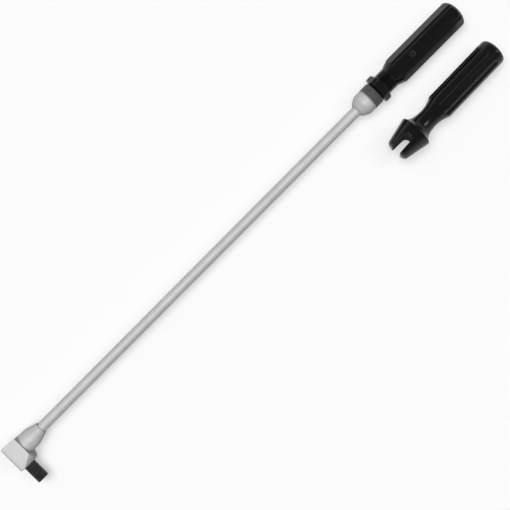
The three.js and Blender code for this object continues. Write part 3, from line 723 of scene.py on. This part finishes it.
def surface_of(field, axes):
    """Points and quads of a field's surface: one point in each grid cell that it crosses."""
    values = field(*np.meshgrid(*axes, indexing="ij"))
    inside = values < 0
    cells = np.array(values.shape) - 1
    corners = [np.array(corner) for corner in np.ndindex(2, 2, 2)]
    filled = sum(
        inside[tuple(slice(o, o + n) for o, n in zip(corner, cells))].astype(int) for corner in corners
    )
    crossed = (filled > 0) & (filled < len(corners))
    number = np.full(crossed.shape, -1)
    number[crossed] = np.arange(crossed.sum())
    cell = np.argwhere(crossed)
    total = np.zeros(cell.shape)
    hits = np.zeros((len(cell), 1))
    units = np.eye(3, dtype=int)
    for corner in corners:
        for axis in np.flatnonzero(corner == 0):
            start = cell + corner
            end = start + units[axis]
            low, high = values[tuple(start.T)], values[tuple(end.T)]
            hit = (low < 0) != (high < 0)
            share = np.where(hit, low / np.where(hit, low - high, 1), 0)
            place = np.column_stack([line[start[:, k]] for k, line in enumerate(axes)])
            place[:, axis] += share * (axes[axis][end[:, axis]] - axes[axis][start[:, axis]])
            total[hit] += place[hit]
            hits[hit] += 1
    points = onto_surface(field, total / hits)
    faces = []
    for axis in range(3):
        across, along = (axis + 1) % 3, (axis + 2) % 3
        change = np.argwhere(np.diff(inside.astype(int), axis=axis) != 0)
        ring = [change - a * units[across] - b * units[along] for a, b in ((0, 0), (1, 0), (1, 1), (0, 1))]
        faces.append(np.column_stack([number[tuple(corner.T)] for corner in ring]))
    return points, np.concatenate(faces).tolist()


def onto_surface(field, points, reach=0.01, rounds=2, least_steepness=0.05):
    """Moves points that lie near a field's surface onto it."""
    for _ in range(rounds):
        slope = np.column_stack([
            (field(*(points + step).T) - field(*(points - step).T)) / (2 * reach)
            for step in np.eye(3) * reach
        ])
        steepness = np.maximum(np.sum(slope ** 2, axis=1), least_steepness)
        points = points - slope * (field(*points.T) / steepness)[:, None]
    return points


# Building


def build_head(sizes):
    """Builds the head."""
    edge = in_mm(sizes.head_edge)
    back_slope = (HEAD_BACK_END - HEAD_BACK_SHOULDER) / (HEAD_SHOULDER - HEAD_END)
    bush_bore = SOCKET_RADIUS + RUN_GAP
    groove_middle = (CIRCLIP_START + CIRCLIP_END) / 2
    groove_half = (CIRCLIP_END - CIRCLIP_START) / 2 + FIT_GAP

    def bores(x, y, z):
        """Field of the gear chamber, the ferrule's bore and the circlip's groove."""
        about_tube, about_bit = np.hypot(y, z), np.hypot(x, z)
        chamber = np.maximum(about_tube - CHAMBER_RADIUS, -x)
        spigot = np.maximum(about_tube - SPIGOT_RADIUS - FIT_GAP, SPIGOT_START - END_GAP - x)
        gear = np.maximum(about_bit - CHAMBER_RADIUS, np.maximum(y - CHAMBER_RADIUS, -y - BUSH_START))
        groove = np.maximum(about_bit - CIRCLIP_RADIUS - FIT_GAP, np.abs(y + groove_middle) - groove_half)
        return np.minimum(np.minimum(chamber, spigot), np.minimum(gear, groove))

    def field(x, y, z):
        """Field of the head."""
        back = (y - HEAD_BACK_SHOULDER - back_slope * (HEAD_SHOULDER - x)) / math.hypot(1, back_slope)
        cone = np.hypot(y, z) - HEAD_CONE_RADIUS - HEAD_CONE_SLOPE * (HEAD_SHOULDER - x)
        block = meet(np.maximum(HEAD_MOUTH - y, back), np.abs(z) - HALF_THICKNESS, edge)
        block = meet(block, HEAD_END - x, HEAD_CORNER)
        block = meet(block, cone / math.hypot(1, HEAD_CONE_SLOPE), edge)
        block = meet(block, x - HEAD_SHOULDER, SHOULDER_EDGE)
        mouth = np.maximum(np.hypot(x, z) - bush_bore, y + BUSH_START)
        return np.maximum(meet(block, -mouth, MOUTH_CHAMFER), -bores(x, y, z))

    margin = 2 * HEAD_STEP
    spans = (HEAD_END, HEAD_SHOULDER), (HEAD_MOUTH, HEAD_BACK_END), (-HALF_THICKNESS, HALF_THICKNESS)
    axes = [grid_line(low - margin, (high + margin, HEAD_STEP)) for low, high in spans]
    points, faces = surface_of(field, axes)
    make_piece("gear_head", on_tube_axis(points), faces)


def build_sleeves():
    """Builds the ferrule, the tube and the rear collar."""
    tube_seat = TUBE_RADIUS + FIT_GAP
    seat = HEAD_SHOULDER + SEAT_GAP
    collar_end = COLLAR_START + COLLAR_OUTSIDE[-1][0]
    bush_seat = REAR_BUSH_RADIUS + FIT_GAP
    circle = full_circle(TURNED_SIDES)
    ferrule = softened([
        [SPIGOT_START, FERRULE_CAVITY_RADIUS],
        [SPIGOT_START, SPIGOT_RADIUS, TURNED_EDGE],
        [seat, SPIGOT_RADIUS],
        [seat, FERRULE_RADIUS, SHOULDER_EDGE],
        [HEAD_SHOULDER + FERRULE_BARREL, FERRULE_RADIUS, FERRULE_KNEE],
        [FERRULE_END, FERRULE_TIP_RADIUS, FERRULE_TIP_EDGE],
        [FERRULE_END, tube_seat + MOUTH_GAP, MOUTH_EDGE],
        [FERRULE_END - MOUTH_DEPTH, tube_seat + MOUTH_GAP],
        [FERRULE_END - MOUTH_DEPTH, tube_seat],
        [LIP_END, tube_seat],
        [LIP_END, LIP_RADIUS],
        [LIP_START, LIP_RADIUS],
        [LIP_START, FERRULE_CAVITY_RADIUS],
    ])
    tube = plain_ring(TUBE_START, TUBE_END, TUBE_RADIUS - TUBE_WALL, TUBE_RADIUS, TURNED_EDGE)
    collar = softened([
        *([COLLAR_START + distance, radius, edge] for distance, radius, edge in COLLAR_OUTSIDE),
        [collar_end, COLLAR_SPIGOT_RADIUS],
        [COLLAR_SPIGOT_END, COLLAR_SPIGOT_RADIUS],
        [COLLAR_SPIGOT_END, bush_seat],
        [TUBE_END + END_GAP, bush_seat],
        [TUBE_END + END_GAP, tube_seat],
        [COLLAR_START, tube_seat],
    ])
    turned_piece("ferrule_sleeve", ferrule, circle)
    turned_piece("long_tube", tube, circle)
    turned_piece("cone_collar", collar, circle)


def knurl_outline(sizes, top):
    """Angles and radii round the knurl: the points of each ridge, then the middle of a groove."""
    bottom = top - in_mm(sizes.knurl_depth)
    pitch = 2 * math.pi / sizes.knurl_count
    half_width = (1 - KNURL_SHARE) * pitch / 2
    flank = ((RIDGE_TOP, top), (RIDGE_SHOULDER, top - RIDGE_SHOULDER_DROP), (RIDGE_FOOT, bottom))
    ridge = [*((-share, radius) for share, radius in reversed(flank)), (0, top), *flank]
    angles, radii = [], []
    for number in range(sizes.knurl_count):
        for share, radius in ridge:
            angles.append(number * pitch + share * half_width)
            radii.append(radius)
        angles.append((number + 0.5) * pitch)
        radii.append(bottom)
    return np.array(angles), np.array(radii)


def build_knurled_ring(sizes):
    """Builds the knurled ring."""
    top = RING_RADIUS - KNURL_SINK
    angles, radii = knurl_outline(sizes, top)
    inner = COLLAR_SPIGOT_RADIUS + FIT_GAP
    knurl_start = RING_START + RING_BEAD
    sections = [
        (RING_START, inner),
        *((RING_START + distance, RING_RADIUS - drop) for distance, drop in BEAD_FRONT),
        *((knurl_start - distance, RING_RADIUS - drop) for distance, drop in BEAD_REAR),
        *((knurl_start + distance, np.minimum(radii, top - drop)) for distance, drop in KNURL_LEAD),
        *((RING_END - distance, np.minimum(radii, top - drop)) for distance, drop in KNURL_RUNOUT),
        (RING_END, LIP_RADIUS),
        (RING_LIP_START, LIP_RADIUS),
        (RING_LIP_START, inner),
    ]
    ring = turned_piece("knurl_ring", sections, angles, sharp_degrees=SHARP_DETAIL_ANGLE)
    # The knurl's faces get painted shade: near black low in the grooves, and a darker copy of the satin
    # metal on the ridges
    groove, ridge = (ring.data.materials.find(name) for name in ("knurl_groove", "ridge_metal"))
    for face in ring.data.polygons:
        x, y, z = face.center / MM
        radius = math.hypot(y, z - AXIS_HEIGHT)
        if knurl_start < x < RING_END and radius > inner + BORE_MARGIN:
            face.material_index = groove if radius < top - GROOVE_DROP else ridge


def handle_outline(rib_count):
    """Stations and radii of the turned outline, up to where the grip takes over."""
    pitch = (NECK_END - FLANGE_END) / (rib_count + LAST_RIB_SHARE)
    ribs = np.linspace(FLANGE_END, NECK_END, RIB_SAMPLES)
    wave = np.abs(np.sin(math.pi * (ribs - FLANGE_END + RIB_PHASE * pitch) / pitch))
    rib_radii = NECK_RADIUS + (RIB_RADIUS - NECK_RADIUS) * wave ** RIB_FULLNESS
    outline = [
        (HANDLE_FRONT - OVERRUN, FLANGE_FRONT_RADIUS),
        (HANDLE_FRONT, FLANGE_FRONT_RADIUS),
        (HANDLE_FRONT + FLANGE_FRONT_CHAMFER, GRIP_REACH),
        (FLANGE_END - FLANGE_REAR_CHAMFER, GRIP_REACH),
        *zip(ribs, rib_radii),
        (GRIP_START, GRIP_REACH),
        (HANDLE_END + OVERRUN, GRIP_REACH),
    ]
    return np.array(outline).T


def build_grip(sizes):
    """Builds the grip, with a painted highlight in a ring round the screw's hole."""
    edge = in_mm(sizes.moulding_edge)
    groove_radius, groove_reach = in_mm(sizes.groove_radius), in_mm(sizes.groove_reach)
    stations, radii = handle_outline(sizes.rib_count)
    hole = SCREW_RADIUS + FIT_GAP

    def field(x, y, z):
        """Field of the moulding."""
        radius = np.hypot(y, z)
        six_sided = np.maximum(np.abs(z), np.abs(z) / 2 + np.abs(y) * HEX_COSINE) - HALF_THICKNESS
        to_groove = to_axes(np.arctan2(z, y), radius, HEX_TURN, groove_reach)
        section = meet(six_sided, groove_radius - to_groove, edge)
        body = meet(section, turned_field(x, radius, stations, radii), edge)
        body = meet(body, meet(radius - GRIP_REACH, x - HANDLE_END, GRIP_DOME), edge)
        body = meet(body, HANDLE_FRONT - x, edge)
        about_screw = np.hypot(x - SCREW_X, y)
        sink = np.maximum(about_screw - hole - np.maximum(z - SCREW_HIGH, 0) * SCREW_SINK_SLOPE, -z)
        bore = np.maximum(radius - SHAFT_RADIUS - FIT_GAP, x - SHAFT_END - END_GAP)
        return np.maximum(meet(body, -sink, SCREW_SINK_EDGE), -bore)

    across = GRIP_REACH + OVERRUN
    upright = HALF_THICKNESS + GRID_MARGIN
    axes = (
        grid_line(HANDLE_GRID_START, *HANDLE_GRID),
        grid_line(-across, (across, HANDLE_STEP)),
        grid_line(-upright, (upright, HANDLE_STEP)),
    )
    points, faces = surface_of(field, axes)
    grip = make_piece("grip_moulding", on_tube_axis(points), faces)
    # Faces in a ring round the screw's hole get the painted highlight
    painted_highlight_index = grip.data.materials.find("scuffed_hole")
    for face in grip.data.polygons:
        x, y, z = face.center / MM
        if math.hypot(x - SCREW_X, y) < PAINTED_HIGHLIGHT_RADIUS and z > AXIS_HEIGHT + SCREW_HIGH - FIT_GAP:
            face.material_index = painted_highlight_index


def build_screw():
    """Builds the grub screw with its key's hole."""
    angles = full_circle(SMALL_SIDES)
    key = hexagon_radii(SCREW_KEY, angles)
    sections = [
        (SCREW_LOW, SCREW_RADIUS - SCREW_POINT),
        (SCREW_LOW + SCREW_POINT, SCREW_RADIUS),
        (SCREW_HIGH - SCREW_EDGE, SCREW_RADIUS),
        (SCREW_HIGH, SCREW_RADIUS - SCREW_EDGE),
        (SCREW_HIGH, np.maximum(key, SCREW_KEY / 2 + SCREW_KEY_LEAD)),
        (SCREW_HIGH - SCREW_KEY_LEAD_DEPTH, key),
        (SCREW_HIGH - SCREW_KEY, key),
    ]
    turned_piece("grub_screw", sections, angles, on_screw_axis, SHARP_DETAIL_ANGLE, closed=False)


def on_screw_axis(points):
    """Turns points made about the X axis to the screw's axis."""
    return on_tube_axis(np.column_stack((points[:, 1] + SCREW_X, points[:, 2], points[:, 0])))


def build_washer():
    """Builds the thrust washer."""
    span, radius = node_span("handle_washer", X), half_size("handle_washer", Y)
    outline = plain_ring(*span, SHAFT_RADIUS + RUN_GAP, radius, WASHER_EDGE)
    turned_piece("thrust_washer", outline, full_circle(WASHER_SIDES))


def build_socket():
    """Builds the socket with its journal and bore."""
    angles = full_circle(TURNED_SIDES)
    hexagon = hexagon_radii(HEX_FLATS, angles + math.pi / 2)
    bottom = SOCKET_REACH - HEX_DEPTH
    clip_half = WIRE_RADIUS + FIT_GAP
    groove = CLIP_RADIUS + FIT_GAP
    magnet_bore = MAGNET_RADIUS + FIT_GAP
    barrel = softened([
        [SOCKET_SHOULDER, SOCKET_RADIUS, SOCKET_SHOULDER_EDGE],
        [SOCKET_REACH - SOCKET_CHAMFER, SOCKET_RADIUS, SOCKET_CHAMFER_EDGE],
        [SOCKET_REACH, SOCKET_RADIUS - SOCKET_CHAMFER, TURNED_EDGE],
        [SOCKET_REACH, HEX_LEAD_RADIUS],
        [SOCKET_SHOULDER, HEX_LEAD_RADIUS],
    ])
    sections = [
        (SOCKET_START, GEAR_SEAT_RADIUS),
        (GEAR_SEAT_END, GEAR_SEAT_RADIUS),
        (GEAR_SEAT_END, JOURNAL_RADIUS),
        (SOCKET_SHOULDER, JOURNAL_RADIUS),
        *barrel[:-2],
        *(
            (SOCKET_REACH - depth, np.maximum(hexagon, HEX_LEAD_RADIUS - depth))
            for depth in np.linspace(0, HEX_LEAD_DEPTH, HEX_LEAD_SECTIONS)
        ),
        (CLIP_STATION + clip_half, hexagon),
        (CLIP_STATION + clip_half, groove),
        (CLIP_STATION - clip_half, groove),
        (CLIP_STATION - clip_half, hexagon),
        (bottom, hexagon),
        (bottom, magnet_bore),
        (MAGNET_START - FIT_GAP, magnet_bore),
    ]
    turned_piece("hex_socket", sections, angles, on_bit_axis, SHARP_DETAIL_ANGLE, closed=False)


def build_spring_ring():
    """Builds the open ring of wire in the bore."""
    around = full_circle(WIRE_SIDES)
    stations = CLIP_STATION + WIRE_RADIUS * np.sin(around)
    radii = CLIP_RADIUS - WIRE_RADIUS + WIRE_FLATNESS * WIRE_RADIUS * np.cos(around)
    rows = [
        np.column_stack((stations, radii * np.sin(angle), -radii * np.cos(angle)))
        for angle in np.linspace(CLIP_GAP - math.pi, math.pi - CLIP_GAP, CLIP_STEPS)
    ]
    points, faces = joined(rows, closed=False)
    make_piece("spring_ring", on_bit_axis(points), faces)


def build_magnet():
    """Builds the magnet in the bore."""
    outline = plain_ring(MAGNET_START, MAGNET_END, MAGNET_CAP_RADIUS, MAGNET_RADIUS, TURNED_EDGE)
    turned_piece("magnet_disc", outline, full_circle(SMALL_SIDES), on_bit_axis, closed=False)


def fork_outline():
    """Stations and radii of the turned outline behind the nose."""
    share = np.linspace(0, 1, FORK_BEND_SAMPLES)[:, None]
    bends = [
        [(FORK_NOSE_LENGTH, FORK_FLARE_RADIUS), FORK_COVE_PULL, FORK_COVE_END],
        [FORK_COVE_END, FORK_WAIST_PULL, (FORK_GRIP_START, FORK_GRIP_RADIUS)],
    ]
    cove, waist = (
        (1 - share) ** 2 * start + 2 * share * (1 - share) * pull + share ** 2 * end
        for start, pull, end in np.array(bends)
    )
    return np.concatenate(([FORK_RISE], cove, waist[1:], [(FORK_END + OVERRUN, FORK_GRIP_RADIUS)])).T


def build_fork_handle(sizes):
    """Builds the fork handle, with a painted reflection on the walls of its slot."""
    edge = in_mm(sizes.moulding_edge)
    flute_radius = in_mm(sizes.flute_radius)
    flute_reach = FORK_GRIP_RADIUS - in_mm(sizes.flute_depth) + flute_radius
    flute_pitch = 2 * math.pi / sizes.flute_count
    flute_stop = FORK_END - FORK_FLUTE_STOP - flute_radius
    slot_radius = in_mm(sizes.slot_width) / 2
    slot_root = FORK_SLOT_DEPTH - slot_radius
    stations, radii = fork_outline()
    nose_slope = (FORK_FLARE_RADIUS - FORK_NOSE_TIP_RADIUS) / FORK_NOSE_LENGTH

    def slot(x, y):
        """Field of the slot."""
        return np.hypot(np.maximum(x - slot_root, 0), y) - slot_radius

    def field(x, y, z):
        """Field of the fork handle."""
        radius = np.hypot(y, z)
        nose = (radius - FORK_NOSE_TIP_RADIUS - nose_slope * x) / math.hypot(1, nose_slope)
        body = meet(nose, turned_field(x, radius, stations, radii), FORK_RIM_EDGE)
        body = meet(body, -x, FORK_NOSE_ROUNDING)
        body = meet(body, x - FORK_END, FORK_END - FORK_GRIP_END)
        to_flute = to_axes(np.arctan2(y, z) - FORK_FLUTE_TURN, radius, flute_pitch, flute_reach)
        flute = np.hypot(to_flute, np.maximum(x - flute_stop, 0)) - flute_radius
        flute = np.maximum(flute, FORK_COVE_END[0] - x)
        body = meet(body, -flute, edge)
        return meet(body, -slot(x, y), edge)

    across = FORK_FLARE_RADIUS + OVERRUN
    axes = (
        grid_line(
            -GRID_MARGIN,
            (FORK_COVE_END[0], FORK_STEP),
            (FLUTES_FULL, WAIST_STEP),
            (flute_stop - FLUTE_STEP, FLUTE_STEP),
            (FORK_END + GRID_MARGIN, FORK_STEP),
        ),
        grid_line(-across, (across, FORK_STEP)),
        grid_line(-across, (across, FORK_STEP)),
    )
    points, faces = surface_of(field, axes)
    pitch = math.asin((FORK_FLARE_RADIUS - FORK_GRIP_RADIUS) / (FORK_GRIP_END - FORK_NOSE_LENGTH))
    height = FORK_FLARE_RADIUS * math.cos(pitch) + FORK_NOSE_LENGTH * math.sin(pitch)
    turn = np.array(Euler((FORK_ROLL, pitch, FORK_YAW), "XYZ").to_matrix())
    placed = points @ turn.T + (*FORK_TIP, height)
    fork = make_piece("fork_moulding", placed, faces)
    # Faces on the slot's walls get the painted reflection in place of gloss
    middles = points[np.array(faces)].mean(axis=1)
    in_slot = np.abs(slot(middles[:, 0], middles[:, 1])) < SLOT_PAINT_REACH
    fork.data.polygons.foreach_set("material_index", in_slot.astype(np.int32))


def build_floor(colours):
    """Adds the floor, white where it is seen and darker in its bounce."""
    side = FLOOR_HALF_SIDE
    mesh = bpy.data.meshes.new("floor")
    corners = [(-side, -side, 0), (side, -side, 0), (side, side, 0), (-side, side, 0)]
    mesh.from_pydata(corners, [], [(0, 1, 2, 3)])
    floor = new_object("floor", mesh)
    floor.location.z = -FLOOR_DROP * MM
    material, shader = new_material("floor")
    set_plain(shader, colours.floor, roughness=0.9, specular=0)
    tree = material.node_tree
    seen = seen_directly(tree)
    shade = ramp(tree, seen, colours.bounce, colours.floor, 0, 1)
    tree.links.new(shade, shader.inputs["Base Color"])
    glow = add_node(tree, "ShaderNodeEmission", Color=WHITE, Strength=1)
    share = reckon(tree, "MULTIPLY", seen, FLOOR_GLOW)
    lit = mixed(tree, share, shader.outputs["BSDF"], glow.outputs["Emission"])
    tree.links.new(lit, tree.nodes["Material Output"].inputs["Surface"])
    mesh.materials.append(material)


def build_sky(scene):
    """Adds the softbox that lights the object, and the studio that its reflections show."""
    stage = scene.bit_driver_stage
    world = bpy.data.worlds.new("sky")
    world.use_nodes = True
    scene.world = world
    tree = world.node_tree
    direction = add_node(tree, "ShaderNodeTexCoord").outputs["Generated"]
    lean = math.radians(SOFTBOX_LEAN)
    towards = add_node(tree, "ShaderNodeVectorMath", [(0, direction)], operation="DOT_PRODUCT")
    towards.inputs[1].default_value = (0, math.sin(lean), math.cos(lean))
    above = reckon(tree, "MAXIMUM", towards.outputs["Value"], 0)
    falloff = reckon(tree, "POWER", above, SOFTBOX_FALLOFF)
    # A narrower softbox is made brighter, so that a surface facing it gets the same light
    level = reckon(tree, "MULTIPLY", falloff, stage.sky * (SOFTBOX_FALLOFF + 2) / 2)
    softbox = tree.nodes["Background"]
    softbox.inputs["Color"].default_value = WHITE
    tree.links.new(level, softbox.inputs["Strength"])
    height = add_node(tree, "ShaderNodeSeparateXYZ", [("Vector", direction)]).outputs["Z"]
    fade = spread(tree, height, 1, stage.overhead, *SKY_FADE)
    studio = add_node(tree, "ShaderNodeBackground", [("Strength", fade)], Color=WHITE)
    light = mixed(tree, seen_directly(tree), softbox.outputs["Background"], studio.outputs["Background"])
    tree.links.new(light, tree.nodes["World Output"].inputs["Surface"])


def add_lamp(name, strength, place, width, in_gloss):
    """Adds a far lamp that shines from a place to the origin."""
    lamp = bpy.data.lights.new(name, "SUN")
    lamp.energy = strength
    lamp.angle = math.radians(width)
    holder = new_object(name, lamp)
    holder.location = place
    holder.rotation_euler = (-holder.location).to_track_quat("-Z", "Y").to_euler()
    holder.visible_glossy = in_gloss


def add_strip(power):
    """Adds the strip lamp, which shows in gloss only."""
    lamp = bpy.data.lights.new("strip_lamp", "AREA")
    lamp.energy = power
    lamp.shape = "RECTANGLE"
    lamp.size = (RING_START - HEAD_END) * MM
    lamp.size_y = STRIP_WIDTH * MM
    lamp.spread = math.radians(STRIP_SPREAD)
    holder = new_object("strip_lamp", lamp)
    holder.location = ((HEAD_END + RING_START) / 2 * MM, 0, STRIP_HEIGHT * MM)
    holder.visible_camera = False
    holder.visible_diffuse = False


def add_camera(scene):
    """Adds the camera, which looks straight down."""
    stage = scene.bit_driver_stage
    camera = bpy.data.cameras.new("camera")
    camera.sensor_width = SENSOR_WIDTH
    camera.lens = camera.sensor_width * stage.camera_height / stage.picture_width
    camera.clip_start = NEAREST_SHOWN
    holder = new_object("camera", camera)
    holder.location = (stage.camera_x, stage.camera_y, AXIS_HEIGHT * MM + stage.camera_height)
    holder.rotation_euler = (0, 0, stage.turn)
    scene.camera = holder


# Operators


class BITDRIVER_OT_head(bpy.types.Operator):
    """Builds the gear head: a flat-sided block, turned conical towards the tube"""

    bl_idname = "bitdriver.head"
    bl_label = "Gear head"

    def execute(self, context):
        build_head(context.scene.bit_driver_sizes)
        return {"FINISHED"}


class BITDRIVER_OT_sleeves(bpy.types.Operator):
    """Builds the turned sleeves: ferrule, tube and rear collar"""

    bl_idname = "bitdriver.sleeves"
    bl_label = "Ferrule, tube and collar"

    def execute(self, context):
        build_sleeves()
        return {"FINISHED"}


class BITDRIVER_OT_knurled_ring(bpy.types.Operator):
    """Builds the knurled ring: straight grooves behind a plain bead, with painted shade in the grooves and
    on the ridges
    """

    bl_idname = "bitdriver.knurled_ring"
    bl_label = "Knurled ring"

    def execute(self, context):
        build_knurled_ring(context.scene.bit_driver_sizes)
        return {"FINISHED"}


class BITDRIVER_OT_handle(bpy.types.Operator):
    """Builds the handle: a six-sided moulding with grooved corners, a ribbed neck and a flange"""

    bl_idname = "bitdriver.handle"
    bl_label = "Handle"

    def execute(self, context):
        build_grip(context.scene.bit_driver_sizes)
        build_screw()
        build_washer()
        return {"FINISHED"}


class BITDRIVER_OT_bit_socket(bpy.types.Operator):
    """Builds the bit socket with its hexagon bore, spring ring and magnet"""

    bl_idname = "bitdriver.bit_socket"
    bl_label = "Bit socket"

    def execute(self, context):
        build_socket()
        build_spring_ring()
        build_magnet()
        return {"FINISHED"}


class BITDRIVER_OT_fork_handle(bpy.types.Operator):
    """Builds the fork handle: a turned moulding with a waist, a fluted grip and a slotted nose"""

    bl_idname = "bitdriver.fork_handle"
    bl_label = "Fork handle"

    def execute(self, context):
        build_fork_handle(context.scene.bit_driver_sizes)
        return {"FINISHED"}


class BITDRIVER_OT_inner_works(bpy.types.Operator):
    """Gives the bearings, gears, pins and washers inside the tool their finishes"""

    bl_idname = "bitdriver.inner_works"
    bl_label = "Inner works"

    NODES = {
        "bronze_metal": ("front_bush", "rear_bush", "output_bush"),
        "bright_metal": ("drive_shaft", "drive_pinion", "output_gear"),
        "spring_metal": ("output_circlip", "pinion_pin", "gear_pin", "pinion_washer", "output_washer"),
    }

    def execute(self, context):
        for name, nodes in self.NODES.items():
            for node in nodes:
                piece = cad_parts[node]
                piece.data.materials.clear()
                piece.data.materials.append(finish(name))
        return {"FINISHED"}


class BITDRIVER_OT_stage(bpy.types.Operator):
    """Sets up the floor, the light and the camera"""

    bl_idname = "bitdriver.stage"
    bl_label = "Stage"

    def execute(self, context):
        stage = context.scene.bit_driver_stage
        build_floor(context.scene.bit_driver_colours)
        build_sky(context.scene)
        for name, (strength, *values) in LAMPS.items():
            add_lamp(name, getattr(stage, strength), *values)
        add_strip(stage.strip_power)
        add_camera(context.scene)
        context.scene.view_settings.view_transform = "Standard"
        return {"FINISHED"}


class BITDRIVER_PT_panel(bpy.types.Panel):
    """Lists the steps that build the bit driver"""

    bl_idname = "BITDRIVER_PT_panel"
    bl_label = "Bit driver"
    bl_space_type = "VIEW_3D"
    bl_region_type = "UI"
    bl_category = "Bit driver"

    def draw(self, context):
        for operator in OPERATORS:
            self.layout.operator(operator.bl_idname)
        for settings, group in SETTINGS.items():
            box = self.layout.box()
            for name in group.__annotations__:
                box.prop(getattr(context.scene, settings), name)


OPERATORS = (
    BITDRIVER_OT_head,
    BITDRIVER_OT_sleeves,
    BITDRIVER_OT_knurled_ring,
    BITDRIVER_OT_handle,
    BITDRIVER_OT_bit_socket,
    BITDRIVER_OT_fork_handle,
    BITDRIVER_OT_inner_works,
    BITDRIVER_OT_stage,
)
SETTINGS = {
    "bit_driver_sizes": BitDriverSizes,
    "bit_driver_colours": BitDriverColours,
    "bit_driver_stage": BitDriverStage,
}
CLASSES = (*SETTINGS.values(), *OPERATORS, BITDRIVER_PT_panel)


def register():
    """Adds the classes and the scene's settings."""
    for cls in CLASSES:
        bpy.utils.register_class(cls)
    for name, group in SETTINGS.items():
        setattr(bpy.types.Scene, name, PointerProperty(type=group))


def unregister():
    """Takes the scene's settings and the classes away."""
    for name in SETTINGS:
        delattr(bpy.types.Scene, name)
    for cls in reversed(CLASSES):
        bpy.utils.unregister_class(cls)


def main():
    """Builds everything in order."""
    register()
    for operator in OPERATORS:
        group, name = operator.bl_idname.split(".")
        getattr(getattr(bpy.ops, group), name)()


if __name__ == "__main__":
    main()
